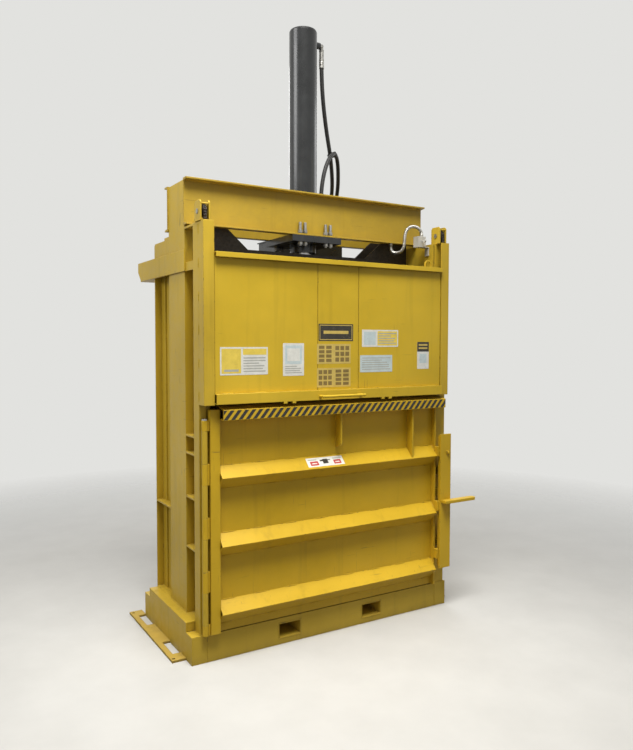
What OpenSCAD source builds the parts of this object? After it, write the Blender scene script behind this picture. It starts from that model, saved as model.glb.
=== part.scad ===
// Vertical recycling baler: welded steel frame, swinging bale door, rising feed gate,
// hydraulic press cylinder with its platen, and a power unit on a rear shelf.
// Millimetres, +Z up, front towards -Y, origin at the centre of the floor anchor holes.
// Shapes are described from the front plane of the base, on the right-hand side,
// and the left-hand side is its mirror image.

/* [Chamber] */
// Clear width of the pressing chamber
chamber_w = 1524; // [1420:4:1640]
// Clear depth of the pressing chamber, from the door to the back wall
chamber_d = 680; // [640:10:740]
// Thickness of the side and back walls
wall_t = 8; // [6:1:10]
// Height of the top edge of the side walls
wall_top_z = 2336; // [2300:1:2340]
// Height of the top edge of the back wall
back_wall_top_z = 2200; // [2150:10:2240]
// Thickness of the floor plate
floor_t = 12; // [8:1:16]

/* [Base] */
// Height of the front and rear base beams
base_h = 150; // [130:1:160]
// Depth of the base from front to back
base_d = 800; // [790:10:860]
// How far the base stands out beyond the side columns
base_margin = 57; // [54:1:62]
// Height of the side rail channels
rail_h = 203; // [190:1:220]
// Width of the closed corner feet under the posts
foot_w = 88; // [86:1:94]
// Web thickness of the base beams and rails
base_web_t = 8; // [6:1:10]
// Clear width of a fork pocket
fork_w = 135; // [110:1:150]
// Clear height of a fork pocket
fork_h = 75; // [60:1:80]
// Distance from the middle of the base to the middle of a fork pocket
fork_x = 285; // [250:1:320]
// Height of the underside of the fork pockets
fork_z = 40; // [34:1:44]
// Wall thickness of the fork tubes
fork_wall = 6; // [4:1:8]

/* [Floor flanges] */
// Width of the flange that stands out on each side
flange_w = 78; // [70:1:90]
// Length of the flange from front to back
flange_l = 790; // [780:10:820]
// Thickness of the flange
flange_t = 12; // [8:1:16]
// Width of the open windows in the flange
flange_window_w = 46; // [38:1:52]
// Length of the open windows in the flange
flange_window_l = 172; // [140:1:200]
// Distance between the two windows, middle to middle
flange_window_pitch = 452; // [420:1:480]
// Distance between front and rear anchor holes
anchor_span = 740; // [720:10:760]
// Distance from the front plane of the base to the front anchor holes
anchor_setback = 110; // [104:1:120]
// Distance from the flange's outer edge to the anchor holes
anchor_edge = 17; // [15:1:20]
// Radius of the anchor holes
anchor_hole_r = 9; // [7:0.5:11]

/* [Posts and columns] */
// Outside size of the square right-hand post, and depth of the left-hand one
post_w = 75; // [74:1:80]
// Width of the left-hand post, seen from the front
left_post_w = 39; // [38:1:44]
// Wall thickness of the front posts
post_wall = 5; // [4:1:5]
// Height of the top of the front posts
post_top_z = 2335; // [2300:1:2340]
// Distance from the base's side to the post's outer face
post_inset = 14; // [11:1:16]
// Distance from the front plane of the base to the post's front face
post_setback = 5; // [3:1:8]
// Depth of the column channels, from front to back
column_d = 254; // [240:1:270]
// Flange width of the column channels
column_b = 48; // [44:1:52]
// Distance from the front plane of the base to the column
column_y = 222; // [215:1:230]
// Height of the top of the columns
column_top_z = 2593; // [2560:1:2598]
// Thickness of the side stiffener bars
rib_t = 10; // [8:1:12]
// Distance from the front plane of the base to the rear edge of the side frame
side_rear_y = 735; // [725:1:740]

/* [Crosshead] */
// Height of the underside of the crosshead channels
crosshead_z = 2345; // [2345:1:2360]
// Depth of the crosshead channels
crosshead_h = 254; // [240:1:270]
// Flange width of the crosshead channels
crosshead_b = 46; // [44:1:52]
// Length of the crosshead channels
crosshead_l = 1650; // [1560:10:1660]
// Width of the cylinder mounting plate
mount_plate_w = 340; // [300:10:400]
// Thickness of the cylinder mounting plate
mount_plate_t = 38; // [30:1:40]
// Distance between the two stud pairs
stud_pitch = 177; // [160:1:200]
// Distance between the studs of one pair
stud_pair = 34; // [32:1:44]
// Radius of the studs
stud_r = 9; // [8:0.5:10]

/* [Press cylinder] */
// Outer radius of the barrel
barrel_r = 85; // [82:0.5:88]
// Inner radius of the barrel
bore_r = 76; // [72:0.5:78]
// Height of the top of the barrel cap
barrel_top_z = 3612; // [3560:1:3640]
// Thickness of the barrel cap
cap_t = 36; // [30:1:40]
// Radius of the piston rod
rod_r = 51; // [44:0.5:56]
// Thickness of the gland below the mounting plate
gland_h = 48; // [40:1:50]
// Radial running clearance of rod and piston
run_gap = 0.06; // [0.03:0.01:0.09]
// Length of the piston
piston_h = 70; // [60:1:90]

/* [Platen] */
// Clearance between the platen and the chamber walls
platen_gap = 10; // [8:1:12]
// Height of the platen's pressing face with the cylinder drawn in
platen_z = 2090; // [2060:1:2100]
// Thickness of the pressing plate
platen_t = 20; // [16:1:24]
// Height of the platen's cross beams above the pressing plate
platen_beam_h = 136; // [110:1:138]
// Height that the end gussets rise above the beams
wing_rise = 130; // [100:1:136]
// Distance from the middle to the foot of the sloping gusset edge
wing_foot_x = 415; // [380:1:430]
// Run of the sloping gusset edge, from its foot to its top
wing_run = 150; // [120:1:160]

/* [Door] */
// Height of the bottom of the door
door_z = 155; // [152:1:165]
// Height of the top of the door skin
door_top_z = 1300; // [1260:1:1310]
// Thickness of the door skin
door_t = 8; // [6:1:8]
// Width of the stile on the hinge side
stile_w = 56; // [48:1:60]
// Depth that the stiles stand out in front of the skin
stile_d = 33; // [28:1:36]
// Leg of the angle ribs
rib_leg = 89; // [76:1:92]
// Thickness of the angle ribs
rib_leg_t = 8; // [6:1:10]
// Height of the edge of the lowest rib
rib_z = 262; // [250:1:280]
// Distance between the ribs
rib_pitch = 365; // [350:1:370]
// Height of the feed sill on top of the door
sill_h = 55; // [45:1:58]
// Rise of the sloping sill lip
sill_rise = 18; // [10:1:20]
// Distance that the sill stands out in front of the skin
sill_d = 78; // [70:1:84]
// Plate thickness of the sill
sill_t = 6; // [5:1:8]

/* [Hinge] */
// Outer radius of the hinge knuckles
knuckle_r = 16; // [14:0.5:18]
// Radius of the hinge rod
hinge_rod_r = 9.5; // [8:0.5:11]
// Running clearance between rod and knuckle
hinge_gap = 0.06; // [0.03:0.01:0.09]
// Length of the door's inner knuckles
door_knuckle_l = 112; // [100:1:120]
// Gap between neighbouring knuckles
knuckle_gap = 1; // [0.5:0.5:2]

/* [Door latch] */
// Width of the latch bar
latch_w = 85; // [80:1:90]
// Thickness of the latch bar
latch_t = 12; // [10:1:14]
// Height of the bottom of the latch bar
latch_z = 272; // [262:1:290]
// Length of the latch bar
latch_l = 858; // [820:1:880]
// Vertical travel of the latch bar
latch_travel = 50; // [40:1:52]
// Height of the handle on the latch bar
latch_handle_z = 702; // [660:1:740]
// Reach of the handle from the middle of the latch bar
latch_handle_l = 226; // [190:1:240]

/* [Feed gate] */
// Height of the bottom of the gate
gate_z = 1385; // [1384:1:1392]
// Height of the gate
gate_h = 791; // [760:1:800]
// Thickness of the gate sheets
gate_sheet_t = 5; // [4:1:6]
// Width of the middle sheet
gate_mid_w = 275; // [250:1:300]
// Gap between the gate sheets
gate_seam = 3; // [2:0.5:4]
// Height of the gate's top bar
gate_top_h = 27; // [22:1:32]
// Height of the gate's bottom rail
gate_rail_h = 55; // [48:1:60]
// Distance that the top bar and bottom rail stand out
gate_proud = 24; // [18:1:28]
// Length of the handle on the bottom rail
gate_handle_l = 290; // [260:1:320]

/* [Gate guides and chains] */
// Depth of the guide channels, from front to back
guide_d = 70; // [68:1:74]
// Width of the guide channels
guide_w = 60; // [58:1:62]
// Plate thickness of the guide channels
guide_t = 8; // [6:1:8]
// Distance from the chamber side to the inner edge of the guides
guide_inset = 3; // [2:0.5:4]
// Height of the chain housings
housing_h = 105; // [100:1:120]
// Pitch of the lifting chain
chain_pitch = 15; // [14.5:0.1:15.5]
// Width over the chain plates
chain_w = 16; // [14:1:16]
// Height of the chain plates
chain_h = 13; // [11:0.5:14]
// Length of the counterweights
weight_l = 1350; // [1200:10:1400]
// Width of the counterweights
weight_w = 24; // [20:1:25]
// Depth of the counterweights, from front to back
weight_d = 60; // [50:1:62]

/* [Power unit] */
// Length of the oil tank
tank_w = 540; // [460:10:560]
// Depth of the oil tank
tank_d = 240; // [200:10:250]
// Height of the oil tank
tank_h = 300; // [260:10:320]
// Radius of the motor housing
motor_r = 88; // [80:1:92]
// Length of the motor housing
motor_l = 200; // [180:5:205]
// Radius of the pressure hoses
hose_r = 13; // [11:0.5:14]
// Radius of the switch conduit
conduit_r = 9; // [7:0.5:10]

/* [Hidden] */
$fn = 64;

yellow = "#C9A62E";
dark_steel = "#2B2C2A";
black_paint = "#151617";
zinc = "#B9BAB7";
rubber_black = "#1B1B1C";
grey_paint = "#8E9396";
white_plastic = "#D8D5CC";

// Thickness that a cut runs past a face
over = 2;
// Clearance between sliding parts
slide_gap = 0.3;
// Clearance between parts of different bodies that all but touch
touch = 0.5;

front_y = -anchor_span / 2 - anchor_setback;
wall_x = chamber_w / 2;
frame_x = wall_x + wall_t;
side_x = frame_x + column_b;
base_x = side_x + base_margin;
door_back_y = door_t;
chamber_y = door_back_y + 4;
back_y = chamber_y + chamber_d;
mid_y = column_y + column_d / 2;

base_beam_b = 50;
rail_b = 57;
base_flange_tip = 7;
base_flange_root = 10;
foot_wall = 8;
foot_x = base_x - foot_w;
rail_gap_y = base_d - foot_w;
bearer_w = 50;
bearer_xs = [-frame_x + 60, -fork_x - 190, 0, fork_x + 190, frame_x - 60];
fork_out_w = fork_w + 2 * fork_wall;
fork_out_h = fork_h + 2 * fork_wall;

flange_x = base_x + flange_w;
anchor_x = flange_x - anchor_edge;
flange_y = anchor_setback + anchor_span / 2 - flange_l / 2;

post_x = base_x - post_inset - post_w;
post_y = post_setback;
post_mid_y = post_y + post_w / 2;
post_back_y = post_y + post_w;

column_web = 7;
column_tip = 8;
column_root = 13;
column_back_y = column_y + column_d;

front_rib_zs = [581, 860, 1103, 1199];
rear_rib_zs = [739];
window_z = 2142;
window_margin = 8;
band_z = 2095;
band_t = 8;
arm_t = 10;
arm_z = 2095;
arm_h = 117;
arm_y = 205;
arm_end_y = 1037;
block_top_z = 2300;

back_rib_h = 102;
back_rib_b = 40;
back_rib_t = 7;
back_rib_zs = [420, 800, 1180, 1560, 1930];
rear_angle_leg = 75;
rear_angle_t = 8;
rear_angle_y = side_rear_y - rear_angle_leg;

crosshead_web = 7;
crosshead_tip = 9;
crosshead_root = 14;
crosshead_top_z = crosshead_z + crosshead_h;
plate_z = crosshead_z - mount_plate_t;
barrel_z = plate_z;
gland_r = barrel_r - 6;
stud_y = crosshead_b / 2;
stud_xs = [for (s = [-1, 1]) for (t = [-1, 1]) s * stud_pitch / 2 + t * stud_pair / 2];
stud_ys = [column_y - stud_y, column_back_y + stud_y];
nut_h = 17;
nut_r = 15;
stud_low = 6;
stud_high = 46;
stud_l = stud_low + nut_h + mount_plate_t + crosshead_root + nut_h + stud_high;
port_r = 20;
port_cap_drop = 67;
port_z_top = barrel_top_z - port_cap_drop;
port_z_low = crosshead_z + 75;
port_reach = 46.5;

rod_foot_z = platen_z + platen_t;
piston_top_z = barrel_top_z - cap_t - 6;
piston_z = piston_top_z - piston_h;
beam_top_z = platen_z + platen_t + platen_beam_h;
wing_top_z = beam_top_z + wing_rise;
platen_x = wall_x - platen_gap;
platen_y0 = chamber_y + platen_gap;
platen_y1 = back_y - platen_gap;
wing_ys = [mid_y - 80, mid_y + 68];
wing_t = 12;
platen_rib_pitch = 200;
platen_rib_t = 12;
hub_r = 86;
hub_h = 60;

hinge_x = base_x - 70;
hinge_y = post_y - knuckle_r - 7;
knuckle_bore_r = hinge_rod_r + hinge_gap;
hinge_z = door_z;
hinge_top_z = door_top_z;
end_knuckle_l = door_knuckle_l / 2;
post_knuckle_l = (hinge_top_z - hinge_z - 2 * end_knuckle_l - 3 * door_knuckle_l) / 4;
knuckle_step = door_knuckle_l + post_knuckle_l;

stile_x = hinge_x - knuckle_r - 10;
stile_in_x = stile_x - stile_w;
stile_wall = 5;
lock_x = wall_x - 1;
lock_stile_w = 12;
rib_reach = rib_leg / sqrt(2);
rib_ends = [-stile_in_x, lock_x - lock_stile_w];
gusset_xs = [20, 548];
gusset_foot_zs = [1116, rib_z + 2 * rib_pitch + 20];
gusset_t = 12;
gusset_d = 56;
sill_ends = [-stile_in_x, wall_x + 36];
sill_top_z = door_top_z + sill_h + sill_rise;

latch_x = lock_x - 1;
latch_front_y = -80;
handle_h = 46;
handle_t = 18;
latch_back_y = latch_front_y + latch_t;
runner_stem_w = 10;
runner_w = 28;
runner_x = latch_x + 23;
runner_neck_y = latch_back_y + 12;
runner_t = 10;
bracket_h = 60;
bracket_t = 8;
bracket_zs = [latch_z + 60, latch_z + latch_l / 2 - 60, latch_z + latch_l - 140];
staple_zs = [latch_z + 130, latch_z + latch_l / 2 + 20, latch_z + latch_l - 270];
staple_x = latch_x + 57;
staple_w = 44;
staple_t = 8;
staple_h = 50;
staple_front_y = post_y - 46;
hook_w = 24;
hook_t = 10;
hook_arm_h = 16;
hook_gap = 2;

guide_x = wall_x + guide_inset;
left_post_x = guide_x + guide_w - left_post_w;
guide_y = post_y - guide_d;
guide_z = gate_z - 4;
gate_x = guide_x - 3;
gate_y = guide_y + 5;
gate_top_z = gate_z + gate_h;
gate_back_y = -14;
frame_bar = 40;
gate_foot_x = 292;
gate_foot_pitch = 54;
gate_foot_w = 22;
arch_x = 678;
arch_r = 27;
arch_h = 46;
arch_t = 7;
chain_x = guide_x + 36;
guide_in_y0 = guide_y + guide_t;
guide_in_y1 = post_y - guide_t;
chain_y = (guide_in_y0 + guide_in_y1) / 2;
wrap_links = 7;
sheave_pitch_r = wrap_links * chain_pitch / PI;
sheave_y = chain_y + sheave_pitch_r;
sheave_z = post_top_z + 50;
chain_back_y = sheave_y + sheave_pitch_r;
groove_r = sheave_pitch_r - chain_h / 2 - 0.4;
sheave_rim_r = sheave_pitch_r + 4;
axle_r = 8;
axle_gap = 0.06;
axle_nut_t = 4;
cheek_t = 8;
slot_w = 40;
housing_front = 38;
housing_rear = 42;
tie_r = 5;
front_links = 51;
back_links = 4;
// The end pins lie half a pitch off the wrap, whose own end pins lie half a step in
front_chain_z = sheave_z - chain_h / 2 - 0.8;
rear_chain_z = front_chain_z;
front_pin_z = front_chain_z - front_links * chain_pitch;
rear_pin_z = rear_chain_z - back_links * chain_pitch;
ear_r = 6;
ear_t = 3;
ear_foot = 14;
weight_gap = 2.5;
lug_z = front_pin_z - ear_foot;
weight_top_z = rear_pin_z - ear_foot;
shoe_gap = 3;
shoe_l = 80;
shoe_zs = [gate_z + 8, lug_z - 100];
chain_pin_r = 3.5;
plate_t = 2.5;
lug_t = 14;

deck_t = 8;
deck_z = arm_z;
deck_y = side_rear_y + 10;
tank_x = 20;
tank_y = deck_y + 16;
tank_z = deck_z + deck_t;
tank_top_z = tank_z + tank_h;
motor_x = tank_x + 30;
pump_t = 52;
motor_y = tank_y + tank_d / 2;
motor_z = tank_top_z + motor_r + 14;
valve_x = 420;
valve_y = tank_y + tank_d / 2;
valve_z = tank_top_z;
valve_w = 110;
valve_h = 90;
valve_port_pitch = 60;
starter_x = 120;
starter_w = 380;
starter_d = 150;
starter_h = 190;

valve_top_z = valve_z + valve_h;
valve_port_xs = [valve_x - valve_port_pitch / 2, valve_x + valve_port_pitch / 2];

switch_x = 668;
switch_w = 58;
switch_y = 70;
switch_h = 73;
switch_top_z = 2388;
switch_boss_x = switch_x + 44;
switch_bracket_h = 50;
port_x = barrel_r + port_reach;
elbow_r = 14;
elbow_drop = 34;
nut_port_r = 17;
nut_t = 13;
port_nut_t = 16;
port_nut_lap = 1;
boss_x = bore_r + 4;
ferrule_r = hose_r + 1.5;
ferrule_l = 46;
hose_off = elbow_drop + ferrule_l;
valve_hose_z = valve_top_z + nut_t + ferrule_l;

// Route of the hose from the cap end over the crosshead to the valve block
cap_hose = concat(
  [[port_x, mid_y, port_z_top - hose_off]],
  [
    [134, 350, 3380], [141, 354, 3290], [156, 364, 3200], [180, 382, 3112], [212, 408, 3026],
    [250, 440, 2944], [288, 480, 2868], [322, 522, 2798], [350, 566, 2736], [372, 612, 2690],
    [386, 664, 2676], [390, 724, 2664], [390, 777, 2656], [390, 817, 2648], [390, 851, 2626]
  ],
  [[valve_port_xs[0], valve_y - 8, valve_hose_z + 40], [valve_port_xs[0], valve_y, valve_hose_z]]
);
// Route of the hose from the rod end up and over the crosshead to the valve block
rod_hose = concat(
  [[port_x, mid_y, port_z_low + hose_off]],
  [
    [131, 349, 2560], [133, 350, 2640], [144, 352, 2720], [166, 359, 2796], [198, 372, 2860],
    [236, 393, 2904], [276, 421, 2922], [316, 456, 2910], [352, 498, 2870], [384, 544, 2814],
    [412, 592, 2756], [434, 642, 2706], [444, 690, 2684], [450, 740, 2670], [450, 784, 2660],
    [450, 817, 2648], [450, 851, 2626]
  ],
  [[valve_port_xs[1], valve_y - 8, valve_hose_z + 40], [valve_port_xs[1], valve_y, valve_hose_z]]
);
// Route of the conduit from the gate switch over an arch to the underside of the crosshead
switch_route = [
  [switch_boss_x, switch_y, switch_top_z + slide_gap], [switch_boss_x, switch_y, switch_top_z + 14],
  [706, 69, 2418], [688, 67, 2433],
  [662, 66, 2442], [636, 66, 2442], [612, 66, 2434], [592, 66, 2418], [580, 66, 2396],
  [574, 66, 2368], [572, 67, 2336], [571, 73, 2308], [569, 92, 2288], [567, 118, 2280],
  [566, 146, 2280], [565, 172, 2286], [565, 190, 2302], [565, 197, 2324], [565, 197, crosshead_z]
];

module placed() {
  translate([0, front_y, 0]) children();
}

module box(x, y, z) {
  translate([x[0], y[0], z[0]]) cube([x[1] - x[0], y[1] - y[0], z[1] - z[0]]);
}

module mirrored() {
  mirror([1, 0, 0]) children();
}

module both_sides() {
  children();
  mirrored() children();
}

// A drawn section in Y and Z, run along X from x0 to x1
module along_x(x0, x1) {
  translate([x0, 0, 0]) rotate([90, 0, 90]) linear_extrude(x1 - x0) children();
}

// A drawn section in X and Z, run along Y from y0 to y1
module along_y(y0, y1) {
  translate([0, y1, 0]) rotate([90, 0, 0]) linear_extrude(y1 - y0) children();
}

// Rolled channel section: web on the left edge, tapered flanges to the right
module channel_section(h, b, web, tip, root) {
  polygon([
    [0, 0], [b, 0], [b, tip], [web, root],
    [web, h - root], [b, h - tip], [b, h], [0, h]
  ]);
}

module tube_section(w, d, t) {
  difference() {
    square([w, d]);
    translate([t, t]) square([w - 2 * t, d - 2 * t]);
  }
}

module hex_nut(r, h) {
  cylinder(r = r, h = h, $fn = 6);
}

// Base

module fork_cuts(y0, y1) {
  for (s = [-1, 1])
    box([s * fork_x - fork_out_w / 2, s * fork_x + fork_out_w / 2], [y0, y1],
      [fork_z - fork_wall, fork_z - fork_wall + fork_out_h]);
}

module base_beams() {
  color(yellow) {
    difference() {
      union() {
        along_x(-foot_x, foot_x)
          channel_section(base_h, base_beam_b, base_web_t, base_flange_tip, base_flange_root);
        along_x(-foot_x, foot_x) translate([base_d, 0]) mirror([1, 0])
          channel_section(base_h, base_beam_b, base_web_t, base_flange_tip, base_flange_root);
      }
      fork_cuts(-over, base_d + over);
    }
  }
}

module base_feet() {
  color(yellow) both_sides() for (y = [0, rail_gap_y]) {
    translate([foot_x, y, 0]) linear_extrude(base_h) tube_section(foot_w, foot_w, foot_wall);
    box([foot_x + foot_wall, base_x - foot_wall],
      [y + foot_wall, y + foot_w - foot_wall], [base_h - foot_wall, base_h]);
  }
}

module base_side_rails() {
  color(yellow) both_sides()
    along_y(foot_w, rail_gap_y) translate([base_x, 0]) mirror([1, 0])
      channel_section(rail_h, rail_b, base_web_t, base_flange_tip, base_flange_root);
}

module fork_tubes() {
  color(yellow) for (s = [-1, 1])
    along_y(0, base_d)
      translate([s * fork_x - fork_out_w / 2, fork_z - fork_wall])
        tube_section(fork_out_w, fork_out_h, fork_wall);
}

module chamber_floor() {
  color(yellow) {
    box([-base_x + rail_b, base_x - rail_b], [post_back_y, side_rear_y], [rail_h - floor_t, rail_h]);
    box([-left_post_x, post_x], [chamber_y, post_back_y], [rail_h - floor_t, rail_h]);
    for (x = bearer_xs)
      along_y(chamber_y, base_d - base_beam_b / 2)
        translate([x - bearer_w / 2, base_h])
          tube_section(bearer_w, rail_h - floor_t - base_h, 5);
  }
}

module anchor_flanges() {
  color(yellow) both_sides() difference() {
    box([base_x, flange_x], [flange_y, flange_y + flange_l], [0, flange_t]);
    for (s = [-1, 1]) {
      translate([base_x - over, anchor_setback + anchor_span / 2 + s * flange_window_pitch / 2
          - flange_window_l / 2, -over])
        cube([flange_window_w + over, flange_window_l, flange_t + 2 * over]);
      translate([anchor_x, anchor_setback + anchor_span / 2 + s * anchor_span / 2, -over])
        cylinder(r = anchor_hole_r, h = flange_t + 2 * over);
    }
  }
}

// Frame

module front_post(x, w) {
  translate([x, post_y, base_h])
    linear_extrude(post_top_z - base_h) tube_section(w, post_w, post_wall);
  box([x + post_wall, x + w - post_wall],
    [post_y + post_wall, post_back_y - post_wall], [base_h, base_h + post_wall]);
}

// The left-hand post is flush with its gate guide, and the right-hand one carries the latch staples
module front_posts() {
  color(yellow) {
    front_post(post_x, post_w);
    mirrored() front_post(left_post_x, left_post_w);
  }
}

module side_wall(post_inner_x, with_window) {
  color(yellow) {
    difference() {
      box([wall_x, frame_x], [chamber_y, back_y], [rail_h, wall_top_z]);
      if (with_window)
        box([wall_x - over, frame_x + over],
          [post_back_y + window_margin, column_y - window_margin], [window_z, wall_top_z - 12]);
    }
    // Jamb strip that closes the gap to the front post
    box([frame_x, post_inner_x], [chamber_y + 4, chamber_y + 14], [rail_h, post_top_z]);
  }
}

module side_wall_left() {
  mirrored() side_wall(left_post_x, true);
}

module side_wall_right() {
  side_wall(post_x, false);
}

module stiffener_bar(x, y0, y1, z) {
  box([x, side_x], [y0, y1], [z - rib_t / 2, z + rib_t / 2]);
}

module side_stiffeners() {
  color(yellow) both_sides() {
    for (z = front_rib_zs) stiffener_bar(frame_x, post_back_y, column_y, z);
    for (z = rear_rib_zs) {
      stiffener_bar(frame_x, column_back_y, rear_angle_y, z);
      stiffener_bar(frame_x + rear_angle_t, rear_angle_y, side_rear_y - rear_angle_t, z);
    }
    // Band and thin rail that frame the window beside the post
    difference() {
      box([frame_x, side_x], [post_back_y, column_y], [band_z, window_z]);
      box([frame_x - over, side_x - band_t],
        [post_back_y - over, column_y + over], [band_z - over, window_z - band_t]);
    }
    box([frame_x, side_x], [post_back_y, column_y], [wall_top_z - 12, wall_top_z]);
    // Top closing plate of the rear bay
    box([side_x - band_t, side_x], [column_back_y, side_rear_y - rear_angle_t], [arm_z, block_top_z]);
    box([frame_x, side_x - band_t], [column_back_y, side_rear_y - rear_angle_t],
      [block_top_z - band_t, block_top_z]);
  }
}

module columns() {
  color(yellow) both_sides()
    translate([side_x, column_y, rail_h]) linear_extrude(column_top_z - rail_h)
      mirror([1, 0]) channel_section(column_d, column_b, column_web, column_tip, column_root);
}

module back_wall() {
  color(yellow)
    box([-frame_x, frame_x], [back_y, back_y + wall_t], [rail_h, back_wall_top_z]);
}

module back_frame() {
  color(yellow) {
    both_sides() {
      // Corner angle: one leg along the side wall, one leg turned outwards
      box([frame_x, frame_x + rear_angle_t], [rear_angle_y, side_rear_y],
        [rail_h, block_top_z - band_t]);
      box([frame_x + rear_angle_t, side_x], [side_rear_y - rear_angle_t, side_rear_y],
        [rail_h, block_top_z - band_t]);
    }
    for (z = back_rib_zs)
      along_x(-frame_x, frame_x)
        translate([back_y + wall_t + back_rib_b, z - back_rib_h / 2]) mirror([1, 0])
          channel_section(back_rib_h, back_rib_b, back_rib_t, back_rib_t, back_rib_t + 3);
  }
}

module shelf_arms() {
  color(yellow) both_sides() difference() {
    box([side_x, side_x + arm_t], [arm_y, arm_end_y], [arm_z, arm_z + arm_h]);
    // Sloping lower corner at the free end
    along_x(side_x - over, side_x + arm_t + over)
      polygon([
        [arm_end_y - 60, arm_z - over], [arm_end_y + over, arm_z - over],
        [arm_end_y + over, arm_z + 62]
      ]);
  }
}

// Crosshead and press cylinder

module crosshead_channel() {
  along_x(-crosshead_l / 2, crosshead_l / 2)
    translate([0, crosshead_z])
      channel_section(crosshead_h, crosshead_b, crosshead_web, crosshead_tip, crosshead_root);
}

module crosshead_holes() {
  for (x = stud_xs)
    translate([x, stud_y, crosshead_z - over]) cylinder(r = stud_r, h = crosshead_root + 2 * over);
}

module crosshead_beam() {
  difference() {
    crosshead_channel();
    crosshead_holes();
  }
}

module crosshead_front() {
  color(yellow) translate([0, column_y, 0]) mirror([0, 1, 0]) crosshead_beam();
}

module crosshead_rear() {
  color(yellow) translate([0, column_back_y, 0]) crosshead_beam();
}

module cylinder_mount_plate() {
  color(black_paint) difference() {
    box([-mount_plate_w / 2, mount_plate_w / 2],
      [column_y - crosshead_b, column_back_y + crosshead_b], [plate_z, crosshead_z]);
    translate([0, mid_y, plate_z - over])
      cylinder(r = barrel_r, h = mount_plate_t + 2 * over);
    for (x = stud_xs) for (y = stud_ys)
      translate([x, y, plate_z - over]) cylinder(r = stud_r, h = mount_plate_t + 2 * over);
  }
}

module mount_stud() {
  translate([0, 0, plate_z - nut_h - stud_low]) cylinder(r = stud_r, h = stud_l);
  translate([0, 0, plate_z - nut_h]) hex_nut(nut_r, nut_h);
  translate([0, 0, crosshead_z + crosshead_root]) hex_nut(nut_r, nut_h);
}

module mount_studs() {
  color(zinc) for (x = stud_xs) for (y = stud_ys)
    translate([x, y, 0]) mount_stud();
}

module cylinder_barrel() {
  color(black_paint) difference() {
    union() {
      translate([0, mid_y, 0]) rotate_extrude()
        polygon([
          [0, barrel_z], [barrel_r, barrel_z], [barrel_r, barrel_top_z - 14],
          [barrel_r - 4, barrel_top_z - 5], [barrel_r - 14, barrel_top_z], [0, barrel_top_z]
        ]);
      for (z = [port_z_top, port_z_low])
        translate([boss_x, mid_y, z]) rotate([0, 90, 0])
          cylinder(r = port_r, h = port_x + port_nut_lap - port_nut_t - boss_x);
    }
    translate([0, mid_y, barrel_z - over])
      cylinder(r = bore_r, h = barrel_top_z - cap_t - barrel_z + over);
  }
}

module cylinder_gland() {
  color(black_paint) translate([0, mid_y, 0]) difference() {
    union() {
      translate([0, 0, barrel_z - gland_h]) cylinder(r = gland_r, h = gland_h);
      translate([0, 0, barrel_z]) cylinder(r = bore_r, h = 60);
    }
    translate([0, 0, barrel_z - gland_h - over]) cylinder(r = rod_r + run_gap, h = gland_h + 60 + 2 * over);
  }
}

module hose_end() {
  translate([0, 0, -nut_t]) hex_nut(nut_port_r, nut_t);
  cylinder(r = ferrule_r, h = ferrule_l);
}

// Elbow on a barrel port: union nut, bend, and the hose end turned up or down
module port_elbow() {
  rotate([0, -90, 0]) translate([0, 0, -port_nut_lap]) hex_nut(nut_port_r, port_nut_t);
  sphere(r = elbow_r);
  cylinder(r = elbow_r - 3, h = elbow_drop);
  translate([0, 0, elbow_drop]) hose_end();
}

module port_elbows() {
  color(zinc) {
    translate([port_x, mid_y, port_z_top]) mirror([0, 0, 1]) port_elbow();
    translate([port_x, mid_y, port_z_low]) port_elbow();
    for (x = valve_port_xs)
      translate([x, valve_y, valve_top_z + nut_t]) hose_end();
  }
}

// Tube swept along a list of points, with a ring of corners at every point

function unit(v) = v / norm(v);

function path_dir(p, i) =
  i == 0 ? unit(p[1] - p[0]) :
  i == len(p) - 1 ? unit(p[i] - p[i - 1]) :
  unit(p[i + 1] - p[i - 1]);

// The direction ref is never along the path, and it keeps the rings from twisting
function ring(p, i, r, n, ref) =
  let (t = path_dir(p, i), u = unit(cross(t, ref)), v = cross(t, u))
  [for (k = [0 : n - 1]) p[i] + r * (cos(360 * k / n) * u + sin(360 * k / n) * v)];

module swept_tube(p, r, n, ref) {
  count = len(p);
  corners = [for (i = [0 : count - 1]) each ring(p, i, r, n, ref)];
  sides = [for (i = [0 : count - 2]) for (k = [0 : n - 1])
    [i * n + k, (i + 1) * n + k, (i + 1) * n + (k + 1) % n, i * n + (k + 1) % n]];
  caps = [[for (k = [0 : n - 1]) k], [for (k = [n - 1 : -1 : 0]) (count - 1) * n + k]];
  polyhedron(points = corners, faces = concat(sides, caps));
}

module hose_cap_end() {
  color(rubber_black) swept_tube(cap_hose, hose_r, 10, [1, 0, 0]);
}

module hose_rod_end() {
  color(rubber_black) swept_tube(rod_hose, hose_r, 10, [1, 0, 0]);
}

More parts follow.
